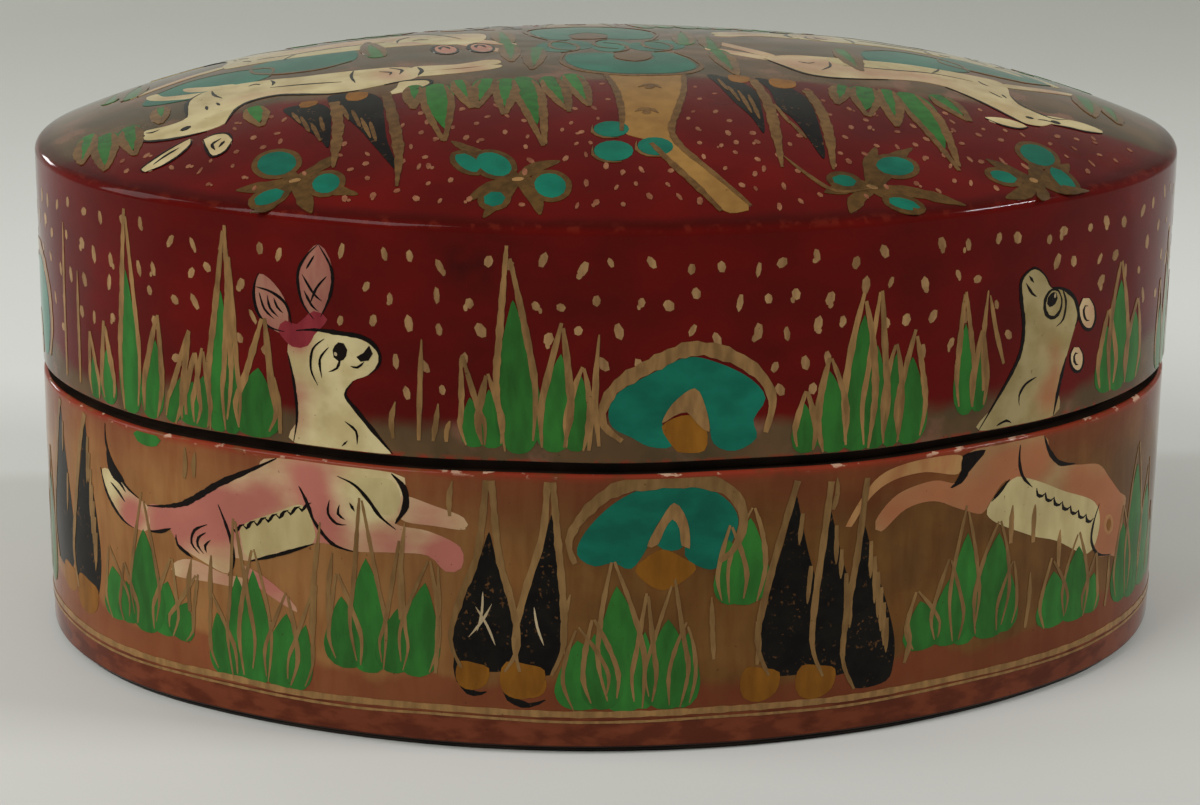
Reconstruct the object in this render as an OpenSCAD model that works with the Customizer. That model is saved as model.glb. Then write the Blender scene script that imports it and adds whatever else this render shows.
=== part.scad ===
// Oval trinket box of papier mache: a low base, an inner collar and a domed lid that lifts straight off.
// The box stands on z = 0, with its long axis along X and its painted front towards -Y.

/* [Plan] */
// Length of the oval over the outer walls
length = 140; // [112:1:200]
// Width of the oval over the outer walls
width = 105; // [80:1:130]
// Thickness of the base wall
wall_t = 3.2; // [2.4:0.1:5]

/* [Base] */
// Height of the base, from the table to the land that the lid rests on
base_h = 34; // [22:0.5:60]
// Thickness of the pasteboard floor under the wall
floor_t = 1.6; // [1.2:0.1:3]
// How far the floor's edge lies in from the face of the wall
floor_inset = 0.7; // [0.3:0.1:1.5]
// Bevel round the lower edge of the floor
floor_bevel = 0.5; // [0.2:0.1:0.8]
// Width of the land that the lid rests on, just outside the collar
land_w = 0.9; // [0.5:0.1:1.2]
// Height of the open seam between the base's painted rim and the lid
seam_gap = 1.5; // [0.5:0.1:2.5]
// Radius of the worn outer edge of the rim
rim_round = 0.4; // [0.2:0.1:0.8]

/* [Collar] */
// Thickness of the collar strip
collar_t = 1.6; // [1:0.1:2.5]
// How far the collar stands above the rim
collar_proud = 6.5; // [3:0.5:12]
// Glue line between the collar and the base wall
glue_gap = 0.05; // [0.02:0.01:0.15]
// Clearance all round between the collar and the lid
lid_slip = 0.45; // [0.25:0.05:0.8]
// Bevel that leads the lid onto the collar
collar_bevel = 0.6; // [0.2:0.1:0.9]

/* [Lid] */
// Height of the lid's wall
lid_wall_h = 25.3; // [15:0.1:50]
// Radius of the lower outer edge of the lid
lid_edge_round = 0.3; // [0.2:0.1:0.8]
// Height of the dome's straight edge above the wall
dome_edge_h = 1; // [0.6:0.1:3]
// Rise of the dome above its straight edge
dome_rise = 10.6; // [5:0.1:20]
// Thickness of the dome at the crown
dome_t = 2.8; // [2:0.1:4.5]
// Fullness of the dome: 2 is a plain bowl, and more is flatter on top with a steeper shoulder
dome_fullness = 2.8; // [2:0.1:4]

/* [Hidden] */
$fn = 180;

end_steps = 26;      // points of the dome round each end of the oval
side_steps = 20;     // points of the dome along each side of the oval
dome_rings = 16;     // rings of the dome's top between its edge and its crown
hollow_rings = 10;   // rings of the dome's underside

// The oval is four arcs that run smoothly into each other. Each end arc has its centre on the X axis at end_x,
// and each side arc has its centre on the Y axis, across the box at side_y. The line through both centres
// meets the arcs where they join, and climbs 4 for each 3 that it runs, which keeps every value a round one.
slope = [3, 4];
spread = (length - width) / 2;
end_x = slope[0] * spread / 2;
side_y = slope[1] * spread / 2;
end_r = length / 2 - end_x;
side_r = end_r + norm(slope) * spread / 2;
turn = atan2(slope[1], slope[0]);

// A hair's overlap, far below any size that can be made, which fuses the arcs where they meet
lap = 0.00001;

// A depth that lies past the centre of every arc
middle = 2 * length;

// Depths of the upright faces, measured in from the face of the base wall
collar_depth = wall_t + glue_gap;
lid_bore_depth = collar_depth - lid_slip;
seam_depth = lid_bore_depth - land_w;

// Heights of the faces that meet
rim_z = base_h - seam_gap;
lid_z = base_h;
dome_z = lid_z + lid_wall_h;
collar_top = base_h + collar_proud;

red_lacquer = [0.47, 0.07, 0.06];
brown_lacquer = [0.45, 0.27, 0.13];
black_lacquer = [0.05, 0.045, 0.04];

// Points of a quarter circle. They are short decimals, so that edges of all arcs meet exactly.
quarter = [[1, 0], [0.96, 0.28], [0.8, 0.6], [0.6, 0.8], [0.28, 0.96], [0, 1]];

// An edge rounded by r, from the face of the wall inwards: top edges use up = 1, and lower edges up = -1
function rounded(r, z, up) = [for (p = quarter) [r * (1 - p[0]), z - up * r * (1 - p[1])]];

// An arc from the angle a to the angle b, without its last point
function arc(centre, r, a, b, steps) =
    [for (i = [0:steps - 1]) let (t = a + (b - a) * i / steps) centre + r * [cos(t), sin(t)]];

// The oval's outline, moved in by depth
function oval(depth) = concat(
    arc([end_x, 0], end_r - depth, -turn, turn, end_steps),
    arc([0, -side_y], side_r - depth, turn, 180 - turn, side_steps),
    arc([-end_x, 0], end_r - depth, 180 - turn, 180 + turn, end_steps),
    arc([0, side_y], side_r - depth, 180 + turn, 360 - turn, side_steps)
);

// Height of a dome over its edge, at the share s of the way from its crown to its edge
function dome_height(rise, s) = rise * (1 - pow(s, dome_fullness));

// An outline drawn in to the share s of its size, at the height z
function ring(outline, s, z) = [for (p = outline) [p[0] * s, p[1] * s, z]];

// Rings of a dome from next to its crown out to its edge, closer together at the shoulder
function dome_shell(outline, rise, z, rings) =
    [for (i = [1:rings]) let (s = sin(90 * i / rings)) ring(outline, s, z + dome_height(rise, s))];

// The same list from its last item to its first
function backwards(list) = [for (i = [len(list) - 1:-1:0]) list[i]];

// Two triangles for each step round the band between ring k and ring k + 1, of n points each
function band(k, n) = [
    for (i = [0:n - 1]) let (a = k * n + i, b = k * n + (i + 1) % n)
        each [[a, a + n, b], [b, a + n, b + n]]
];

// An outline of [depth, z] points turned about Z at the radius r
module turned(outline, r)
    rotate_extrude()
    polygon([for (p = outline) [max(r - p[0], 0), p[1]]]);

// A tall prism over a flat outline
module column(points)
    translate([0, 0, -length])
    linear_extrude(2 * length)
    polygon(points);

// Sweeps an outline of [depth, z] points once round the oval
module around(outline) {
    near = [end_x, 0] - slope;
    far = [end_x, 0] + length * slope;
    for (half = [0, 180]) rotate(half) {
        intersection() {
            translate([end_x, 0, 0]) turned(outline, end_r);
            column([[end_x, 0], [far[0], -far[1]], far]);
        }
        intersection() {
            translate([0, -side_y, 0]) turned(outline, side_r);
            column([
                [-near[0] - lap, near[1]],
                [near[0] + lap, near[1]],
                [far[0] + lap, far[1]],
                [-far[0] - lap, far[1]]
            ]);
        }
    }
}

// A closed skin through rings of n points each, with a point over its first ring and one over its last
module skin(first, rings, last) {
    n = len(rings[0]);
    count = len(rings);
    top = count * n;
    polyhedron(
        points = concat([for (r = rings) each r], [first, last]),
        faces = concat(
            [for (i = [0:n - 1]) [top, i, (i + 1) % n]],
            [for (k = [0:count - 2]) each band(k, n)],
            [for (i = [0:n - 1]) [top + 1, top - n + (i + 1) % n, top - n + i]]
        )
    );
}

module floor_board()
    color(black_lacquer)
    around([
        [floor_inset + floor_bevel, 0],
        [floor_inset, floor_bevel],
        [floor_inset, floor_t],
        [middle, floor_t],
        [middle, 0]
    ]);

module base_wall()
    color(brown_lacquer)
    around(concat(
        [[wall_t, floor_t], [0, floor_t]],
        rounded(rim_round, rim_z, 1),
        [[seam_depth, rim_z], [seam_depth, base_h], [wall_t, base_h]]
    ));

module inner_collar()
    color(black_lacquer)
    around([
        [collar_depth, floor_t],
        [collar_depth, collar_top - collar_bevel],
        [collar_depth + collar_bevel, collar_top],
        [collar_depth + collar_t, collar_top],
        [collar_depth + collar_t, floor_t]
    ]);

module lid_wall()
    color(red_lacquer)
    around(concat(
        [[lid_bore_depth, dome_z], [lid_bore_depth, lid_z]],
        backwards(rounded(lid_edge_round, lid_z, -1)),
        [[0, dome_z]]
    ));

module lid_dome() {
    outside = oval(0);
    inside = oval(lid_bore_depth);
    crown = dome_edge_h + dome_rise;
    color(red_lacquer)
    skin(
        [0, 0, dome_z + crown],
        concat(
            dome_shell(outside, dome_rise, dome_z + dome_edge_h, dome_rings),
            [ring(outside, 1, dome_z)],
            backwards(dome_shell(inside, crown - dome_t, dome_z, hollow_rings))
        ),
        [0, 0, dome_z + crown - dome_t]
    );
}

floor_board();
base_wall();
inner_collar();
lid_wall();
lid_dome();
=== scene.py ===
# %% [markdown]
# # An oval papier mache box, dressed in Blender
# The box is paper pulp pressed round a form, cut in two, and painted by hand under a clear varnish. The frame
# brings its five pieces at their real size. This notebook gives them the faces of hand-made things, and then
# paints them in the painter's order: ground, figures, grass, gold lines, ink, and varnish over it all.

# %% Load the frame
import math
import random
import bpy
from mathutils import Matrix, Vector, geometry


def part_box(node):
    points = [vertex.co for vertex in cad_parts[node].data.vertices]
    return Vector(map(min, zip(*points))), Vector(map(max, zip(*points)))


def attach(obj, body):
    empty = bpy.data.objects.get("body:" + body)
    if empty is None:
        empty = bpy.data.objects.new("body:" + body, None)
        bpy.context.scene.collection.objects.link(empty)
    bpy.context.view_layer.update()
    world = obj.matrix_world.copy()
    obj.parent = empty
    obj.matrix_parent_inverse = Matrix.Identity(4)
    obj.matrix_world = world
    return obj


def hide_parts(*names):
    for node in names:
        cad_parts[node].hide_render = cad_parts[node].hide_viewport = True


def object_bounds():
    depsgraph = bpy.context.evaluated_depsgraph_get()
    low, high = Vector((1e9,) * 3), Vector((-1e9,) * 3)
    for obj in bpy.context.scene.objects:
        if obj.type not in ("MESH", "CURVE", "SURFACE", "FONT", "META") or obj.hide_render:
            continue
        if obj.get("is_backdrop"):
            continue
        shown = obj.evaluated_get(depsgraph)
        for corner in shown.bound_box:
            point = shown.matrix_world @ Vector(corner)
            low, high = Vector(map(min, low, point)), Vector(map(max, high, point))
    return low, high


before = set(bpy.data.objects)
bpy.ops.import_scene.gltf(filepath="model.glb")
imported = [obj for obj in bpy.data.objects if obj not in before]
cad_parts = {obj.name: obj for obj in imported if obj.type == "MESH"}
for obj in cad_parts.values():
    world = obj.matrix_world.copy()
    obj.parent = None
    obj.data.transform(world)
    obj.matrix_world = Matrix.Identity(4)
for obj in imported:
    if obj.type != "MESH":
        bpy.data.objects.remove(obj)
cad_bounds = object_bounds()

# %% [markdown]
# The plan is an oval of four arcs that run smoothly into each other. The line through the centres of two
# neighbours climbs 4 for each 3 that it runs, so the whole oval follows from its length and its width. Those
# two are measured on the frame. All sizes below are millimetres, and MM turns them into Blender's metres.

# %% Read the oval and the heights from the frame
MM = 0.001


def box_mm(node):
    """The lowest and the highest corner of a CAD node, in millimetres."""
    return [[round(value / MM, 2) for value in corner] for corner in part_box(node)]


base_low, base_high = box_mm("base_wall")
lid_z = box_mm("lid_wall")[0][2]
dome_low, dome_high = box_mm("lid_dome")
length = round(base_high[0] - base_low[0], 1)
width = round(base_high[1] - base_low[1], 1)
spread = (length - width) / 2
end_x = 1.5 * spread
side_y = 2 * spread
end_r = length / 2 - end_x
side_r = end_r + 2.5 * spread
turn = math.atan2(4, 3)
side_way = side_r * (math.pi / 2 - turn)
end_way = 2 * end_r * turn
half_way = 2 * side_way + end_way

floor_top = base_low[2]
land_z = base_high[2]
dome_z = dome_low[2]
top_z = dome_high[2]
print("oval", length, width, "heights", floor_top, land_z, lid_z, dome_z, top_z, "half way round", half_way)

# %% [markdown]
# ## The painter's map
# A painter turns the box in the hand and works on it as on a flat strip. So the wall gets a map too: u is the
# way round the wall from the middle of the front, positive to the right, and z is the height. The dome's map
# is the plan itself, x and y. These functions bring a spot on either map to its place on the box. Each face
# lies a skin's depth inside the CAD face, which leaves room for the coats of paint.

# %% Map the wall and the dome
skin = 0.15
edge_h = 1.0
dome_fullness = 2.8
shoulder_z = dome_z + edge_h


def on_wall(u, z, lift):
    """The spot (u, z) of the wall, lifted off its painted ground."""
    out = lift - skin
    way = abs(u)
    if way <= side_way:
        a = way / side_r
        x = (side_r + out) * math.sin(a)
        y = side_y - (side_r + out) * math.cos(a)
    elif way <= side_way + end_way:
        a = (way - side_way) / end_r - turn
        x = end_x + (end_r + out) * math.cos(a)
        y = (end_r + out) * math.sin(a)
    else:
        a = (way - side_way - end_way) / side_r + turn
        x = (side_r + out) * math.cos(a)
        y = (side_r + out) * math.sin(a) - side_y
    return [math.copysign(1, u) * x, y, z]


def reach(x, y):
    """How far the oval reaches from its middle in the direction of (x, y)."""
    away = max(math.hypot(x, y), 0.001)
    along, across = abs(x) / away, abs(y) / away
    if 3 * across <= 2 * along:
        middle, radius, share = end_x, end_r, along
    else:
        middle, radius, share = -side_y, side_r, across
    return middle * share + math.sqrt((middle * share) ** 2 - middle ** 2 + radius ** 2)


def dome_height(share):
    """Height of the dome's face at a share of the way from its crown to its edge."""
    return shoulder_z - skin + (top_z - shoulder_z) * (1 - min(share, 1) ** dome_fullness)


def on_dome(x, y, lift):
    """The spot (x, y) of the dome, lifted off its painted ground."""
    return [x, y, dome_height(math.hypot(x, y) / reach(x, y)) + lift]


print(
    "front middle", on_wall(0, 40, 0), "right end", on_wall(half_way / 2, 40, 0), "crown", on_dome(0, 0, 0),
)

# %% [markdown]
# Pressed pulp dries unevenly, and a blade cuts the two halves apart by hand. So the true oval is let wander
# inwards by up to a third of a millimetre, and the two edges at the seam waver by as much. The coats of paint
# go through the same function, so they stay on the ground that carries them.

# %% Let the hand show
wander_in = 0.16
waver = 0.28
seam_reach = 7.0


def waves(a, z):
    """A slow and a quick wave round the box, between -1 and 1."""
    slow = math.sin(3 * a + 0.06 * z) + math.sin(5 * a - 0.05 * z + 1.0)
    quick = math.sin(13 * a + 0.21 * z + 2.0) * math.sin(0.16 * z + 7 * a)
    return (slow + 0.7 * quick) / 2.7


def worn_by_hand(spot, body):
    """Moves one true spot of a body to where the hand-made box has it."""
    x, y, z = spot
    away = math.hypot(x, y)
    a = math.atan2(y, x)
    inwards = wander_in * (1 + waves(a, z)) * min(1, away / 30)
    if z > shoulder_z:
        z -= inwards * (1 - away / (length / 2))
    cut = (1 + math.sin(4 * a + 0.6) * math.cos(9 * a)) / 2
    if body == "lid" and z < lid_z + seam_reach:
        z += waver * cut * (lid_z + seam_reach - z) / seam_reach
    if body == "base" and rim_z - seam_reach < z < land_z:
        z -= waver * (1 - cut) * min(1, (z - rim_z + seam_reach) / seam_reach)
    keep = 1 - inwards / max(away, 1)
    return [x * keep, y * keep, z]


seam_gap = 1.1
rim_z = land_z - seam_gap
print("rim at", rim_z, "moved", worn_by_hand([length / 2, 0, rim_z], "base"))

# %% [markdown]
# ## The moulded shells
# A turned or moulded wall is a cross-section carried round a path. Here the section starts as a plane merged
# to one point. The point is pulled along the section, and Spin carries it round the centre of each of the
# four arcs in turn. Spin was chosen because it follows the arcs exactly, and leaves clean rows of faces.

# %% Start from one point and spin it round the oval
side_steps = 72
end_steps = 60
weld = 0.002 * MM


def one_point(depth, z):
    """Edit mode on a new object at the origin, with one point where the right end meets the front."""
    bpy.ops.object.select_all(action="DESELECT")
    bpy.ops.mesh.primitive_plane_add(size=MM, location=(0, 0, 0))
    bpy.ops.object.mode_set(mode="EDIT")
    bpy.ops.mesh.merge(type="CENTER")
    pull(section_spot(depth, z), extrude=False)


def section_spot(depth, z):
    """A point of the section, in from the CAD face by depth."""
    r = end_r - depth
    return Vector((end_x + r * math.cos(turn), -r * math.sin(turn), z)) * MM


def pull(move, extrude=True):
    """Moves what is selected, and leaves an edge behind it if extrude is set."""
    if extrude:
        bpy.ops.mesh.extrude_region_move(TRANSFORM_OT_translate={"value": move})
    else:
        bpy.ops.transform.translate(value=move)


def spin_round():
    """Carries what is selected once round the oval, and welds the end to the start.

    Spin takes an angle below zero for a turn to the left, seen from above.
    """
    end_turn, side_turn = 2 * turn, math.pi - 2 * turn
    for x, y, angle, steps in (
        (end_x, 0, end_turn, end_steps),
        (0, -side_y, side_turn, side_steps),
        (-end_x, 0, end_turn, end_steps),
        (0, side_y, side_turn, side_steps),
    ):
        bpy.ops.mesh.spin(steps=steps, angle=-angle, center=(x * MM, y * MM, 0), axis=(0, 0, 1))
    bpy.ops.mesh.select_all(action="SELECT")
    bpy.ops.mesh.remove_doubles(threshold=weld)


def close_piece(name, body, corner=35):
    """Turns all faces outwards, leaves edit mode, and gives the piece its name and its hand-made shape."""
    bpy.ops.mesh.select_all(action="SELECT")
    bpy.ops.mesh.normals_make_consistent(inside=False)
    bpy.ops.object.mode_set(mode="OBJECT")
    piece = bpy.context.object
    highest = max(piece.data.polygons, key=lambda face: face.center.z)
    if highest.normal.z < 0:
        piece.data.flip_normals()
    bpy.ops.object.shade_smooth_by_angle(angle=math.radians(corner))
    piece.name = name
    piece.data.name = name
    for vertex in piece.data.vertices:
        vertex.co = Vector(worn_by_hand(vertex.co / MM, body)) * MM
    print(name, len(piece.data.polygons), "faces")
    return piece


def spun_shell(name, body, section):
    """A closed shell whose section is a list of (depth, z) points."""
    one_point(*section[0])
    for here, there in zip(section, section[1:] + section[:1]):
        pull(section_spot(*there) - section_spot(*here))
    bpy.ops.mesh.select_all(action="SELECT")
    bpy.ops.mesh.remove_doubles(threshold=weld)
    spin_round()
    return close_piece(name, body)


# %% [markdown]
# The lower wall stands on its floor, and its painted rim stops short of the land that carries the lid, which
# leaves the dark seam. Its lower edge and its rim are soft, from paint and from years of handling. The
# painted paper laps down over the edge of the floor, so only a thin dark line of board shows.

# %% Spin the lower wall
wall_t = 3.2
seam_depth = 1.9
soft_r = 0.45
lap_z = 0.75
lap_depth = 0.66
row_h = 3.0


def soft_edge(r, z, up):
    """Quarter round of radius r, from the painted face inwards. Up is 1 on a top edge, -1 on a lower one."""
    angles = [math.radians(22.5 * step) for step in range(5)]
    return [(skin + r - r * math.cos(a), z - up * (r - r * math.sin(a))) for a in angles]


def rows(low, high):
    """Heights about row_h apart between two heights, without the two."""
    count = max(1, round((high - low) / row_h))
    return [low + (high - low) * step / count for step in range(1, count)]


lower_section = (
    [(wall_t, floor_top), (lap_depth, floor_top), (lap_depth, lap_z)]
    + soft_edge(0.3, lap_z, -1)[::-1]
    + [(skin, z) for z in rows(lap_z + 0.3, rim_z - soft_r)]
    + soft_edge(soft_r, rim_z, 1)
    + [(seam_depth, rim_z), (seam_depth, land_z), (wall_t, land_z)]
)
base_shell = spun_shell("base_shell", "base", lower_section)

# %% [markdown]
# The lid's wall is the same kind of section. Its top is covered by the dome, so only its lower edge is soft.

# %% Spin the lid's wall
bore_depth = 2.8
lip_r = 0.15
lid_section = (
    [(bore_depth, dome_z), (bore_depth, lid_z)]
    + soft_edge(lip_r, lid_z, -1)[::-1]
    + [(skin, z) for z in rows(lid_z + lip_r, dome_z)]
    + [(skin, dome_z)]
)
lid_shell = spun_shell("lid_shell", "lid", lid_section)

# %% [markdown]
# The dome isn't a spun section, because its long and its short side rise to one crown. It starts as the
# oval's outline and grows ring by ring: each ring is an extrusion that Resize draws in, and the last one
# merges into the crown. The same steps make the hollow underneath. A bevel softens the shoulder, where
# varnish has pooled, and the first rings are left out there, because a bevel folds rings that lie closer
# than it is wide.

# %% Grow the dome ring by ring
dome_rings = 34
hollow_rings = 12
dome_t = 2.8
shoulder_soft = 0.8
clear_of_shoulder = 0.975


def ring_to(size, now, rise):
    """Extrudes the selected ring, draws it in from the size now to a new one, and lifts it by rise."""
    pull((0, 0, rise * MM))
    factor = size / now
    bpy.ops.transform.resize(value=(factor, factor, 1), center_override=(0, 0, 0))


def pick(test, mode="VERT"):
    """Selects the vertices that pass a test, or the edges between them."""
    bpy.ops.mesh.select_all(action="DESELECT")
    bpy.ops.object.mode_set(mode="OBJECT")
    mesh = bpy.context.object.data
    for vertex in mesh.vertices:
        vertex.select = test(vertex.co / MM)
    for edge in mesh.edges:
        edge.select = all(mesh.vertices[end].select for end in edge.vertices)
    bpy.ops.object.mode_set(mode="EDIT")
    bpy.ops.mesh.select_mode(type=mode)


def grow_rings(height, count, start_z, widest=1.0):
    """Rings from the edge to the crown, closer together at the edge. None is wider than the share widest."""
    share, z = 1.0, start_z
    for step in range(count - 1, 0, -1):
        new_share = math.sin(math.pi / 2 * step / count)
        if new_share > widest:
            continue
        new_z = height(new_share)
        ring_to(new_share, share, new_z - z)
        share, z = new_share, new_z
    pull((0, 0, (height(0) - z) * MM))
    bpy.ops.mesh.merge(type="CENTER")


def outermost(z):
    """A test for the points of the outer ring at a height."""

    def is_outer(co):
        return abs(co.z - z) < 0.01 and math.hypot(co.x, co.y) > 0.985 * reach(co.x, co.y)

    return is_outer


def hollow_height(share):
    """Height of the dome's underside at a share of the way from its crown to its edge."""
    return dome_z + (top_z - dome_t - dome_z) * (1 - share ** dome_fullness)


one_point(skin, dome_z)
spin_round()
bpy.ops.mesh.extrude_region_move()
inner = [1 - (bore_depth - skin) / (half - skin) for half in (length / 2, width / 2)]
bpy.ops.transform.resize(value=(inner[0], inner[1], 1), center_override=(0, 0, 0))
grow_rings(hollow_height, hollow_rings, dome_z)
pick(outermost(dome_z))
pull((0, 0, edge_h * MM - skin * MM))
grow_rings(dome_height, dome_rings, dome_height(1), widest=clear_of_shoulder)
pick(outermost(dome_height(1)), mode="EDGE")
bpy.ops.mesh.bevel(offset=shoulder_soft * MM, segments=4)
lid_top = close_piece("lid_top", "lid", corner=60)
for piece in (base_shell, lid_shell, lid_top):
    print(piece.name, "size in mm", [round(side / MM, 2) for side in piece.dimensions])

# %% [markdown]
# ## Lacquer over paint
# All colours of the box are water paint on a chalk ground, under one coat of clear varnish. So all materials
# share one build: a matt colour that streaks and clouds as a brush leaves it, a bump for the brush marks,
# and the Principled shader's coat for the varnish. The patterns read Object coordinates, so they stay on the
# piece.

# %% Helpers for the shader nodes


def rgb(red, green, blue):
    """A colour from the 0 to 255 values that a paint chart gives."""
    steps = [value / 255 for value in (red, green, blue)]
    return [step / 12.92 if step <= 0.04045 else ((step + 0.055) / 1.055) ** 2.4 for step in steps] + [1]


def add(tree, kind, inputs=None, **settings):
    """A new shader node. Each input is a number or colour, or a socket to link."""
    node = tree.nodes.new("ShaderNode" + kind)
    for name, value in settings.items():
        setattr(node, name, value)
    for name, value in (inputs or {}).items():
        if isinstance(value, bpy.types.NodeSocket):
            tree.links.new(value, node.inputs[name])
        else:
            node.inputs[name].default_value = value
    return node


def place(tree):
    """Object coordinates."""
    return add(tree, "TexCoord").outputs["Object"]


def cloud(tree, size, detail=3, stretch=(1, 1, 1), offset=(0, 0, 0)):
    """Soft noise between 0 and 1, with spots of a size in millimetres that stretch draws out."""
    scale = [1 / (size * MM * longer) for longer in stretch]
    spot = add(tree, "Mapping", {"Vector": place(tree), "Scale": scale, "Location": offset})
    inputs = {"Vector": spot.outputs["Vector"], "Scale": 1.0, "Detail": detail}
    return add(tree, "TexNoise", inputs).outputs["Fac"]


def step_up(tree, value, low, high):
    """0 below low and 1 above high, with a soft way between. With low above high it falls instead."""
    first, last = (0, 1) if low < high else (1, 0)
    inputs = {"Value": value, "From Min": min(low, high), "From Max": max(low, high)}
    inputs |= {"To Min": first, "To Max": last}
    return add(tree, "MapRange", inputs, interpolation_type="SMOOTHSTEP").outputs["Result"]


def blotches(tree, size, detail, low, high, **shape):
    """Clouds that are cut off below low and full above high."""
    return step_up(tree, cloud(tree, size, detail, **shape), low, high)


def sums(tree, operation, first, second):
    """One sum on two values."""
    return add(tree, "Math", {0: first, 1: second}, operation=operation).outputs["Value"]


def times(tree, first, second):
    """One value times another."""
    return sums(tree, "MULTIPLY", first, second)


def plus(tree, first, second):
    """One value and another."""
    return sums(tree, "ADD", first, second)


def mix(tree, share, first, second, blend="MIX"):
    """One colour over another by a share. A colour is a socket, or the chart's (red, green, blue)."""
    first, second = (rgb(*colour) if isinstance(colour, tuple) else colour for colour in (first, second))
    inputs = {0: share, 6: first, 7: second}
    return add(tree, "Mix", inputs, data_type="RGBA", blend_type=blend).outputs[2]


def axis(tree, name):
    """The X, Y or Z of the place, in millimetres."""
    value = add(tree, "SeparateXYZ", {"Vector": place(tree)}).outputs[name]
    return times(tree, value, 1 / MM)


def value_of(tree, name):
    """A number that the mesh keeps for each of its points."""
    return add(tree, "Attribute", attribute_name=name).outputs["Fac"]


def near(tree, value, level, reach_mm):
    """1 where a value is at a level, down to 0 at reach_mm from it."""
    off = sums(tree, "ABSOLUTE", sums(tree, "SUBTRACT", value, level), 0)
    return step_up(tree, off, reach_mm, 0)


print("a dark red of the chart as light:", [round(value, 3) for value in rgb(96, 11, 6)])

# %% [markdown]
# The varnish is brushed on, pools a little, and carries fine dust. Two bumps make this: a fine one on the
# paint under it, and a gentle one on the coat, which bends the reflections. The paint has next to no gloss
# of its own, because the varnish has filled it: all the shine is the coat's.

# %% Build a lacquered paint
varnish_rough = 0.08
varnish_ior = 1.18
paint_rough = 0.5
grime_tint, dust_brown = (96, 52, 28), (52, 30, 18)
brush_mark = 0.010
pooling = 0.035


def lacquered(name, colour_of, rough=paint_rough, coat=1.0, coat_rough=varnish_rough):
    """A varnished paint. colour_of(tree) builds its colour socket."""
    material = bpy.data.materials.new(name)
    material.use_nodes = True
    tree = material.node_tree
    shader = tree.nodes["Principled BSDF"]
    speck = blotches(tree, 0.55, 2, 0.735, 0.76)
    grime = blotches(tree, 9, 5, 0.25, 0.7)
    colour = mix(tree, times(tree, grime, 0.22), colour_of(tree), grime_tint, "MULTIPLY")
    colour = mix(tree, times(tree, speck, 0.55), colour, dust_brown)
    tree.links.new(colour, shader.inputs["Base Color"])
    hairs = times(tree, cloud(tree, 1.6, 2, (1, 1, 3)), 1.4)
    fine = plus(tree, cloud(tree, 0.45, 3), hairs)
    under = add(tree, "Bump", {"Height": fine, "Strength": 1.0, "Distance": brush_mark * MM})
    slow = plus(tree, cloud(tree, 11, 2), times(tree, cloud(tree, 1.1, 2), 0.05))
    over = add(tree, "Bump", {"Height": slow, "Strength": 1.0, "Distance": pooling * MM})
    tree.links.new(under.outputs["Normal"], shader.inputs["Normal"])
    tree.links.new(over.outputs["Normal"], shader.inputs["Coat Normal"])
    shader.inputs["Roughness"].default_value = rough
    shader.inputs["Coat Weight"].default_value = coat
    shader.inputs["Coat Roughness"].default_value = coat_rough
    shader.inputs["Coat IOR"].default_value = varnish_ior
    shader.inputs["Specular IOR Level"].default_value = 0.0
    print("material", name)
    return material


def brushed(light, dark, size, stretch=(1, 1, 3.5)):
    """A paint that streaks between two colours along the brush."""

    def colour_of(tree):
        streak = step_up(tree, cloud(tree, size, 4, stretch), 0.3, 0.7)
        tone = times(tree, value_of(tree, "tone"), 0.5)
        share = plus(tree, times(tree, streak, 0.6), tone)
        return mix(tree, share, light, dark)

    return colour_of


# %% [markdown]
# The ground of the lid is crimson, laid over a brown earth that shows in a mottled band above the seam and
# along the middle of the dome. Handling has rubbed the edges through to the red chalk, and one dark smudge
# has stayed high on the front, left of the middle.

# %% Mix the crimson ground of the lid
crimson, deep_crimson, shoulder_band_crimson = (96, 11, 6), (76, 9, 5), (56, 8, 5)
earth, dark_earth, pale_earth = (100, 75, 49), (74, 61, 40), (122, 86, 66)
rubbed_red, smudge_dark = (136, 50, 32), (44, 9, 5)
sky_low = 39.5
dome_brown = 19.5
fade = 2.5
smudge_x, smudge_z = (-19.5, 6.5), (55.8, 5)


def earth_colour(tree):
    """The brown earth, clouded from olive to a dusty pink."""
    base = mix(tree, blotches(tree, 10, 4, 0.3, 0.7), earth, dark_earth)
    return mix(tree, blotches(tree, 5, 5, 0.5, 0.72, offset=(7, 3, 1)), base, pale_earth)


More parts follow.
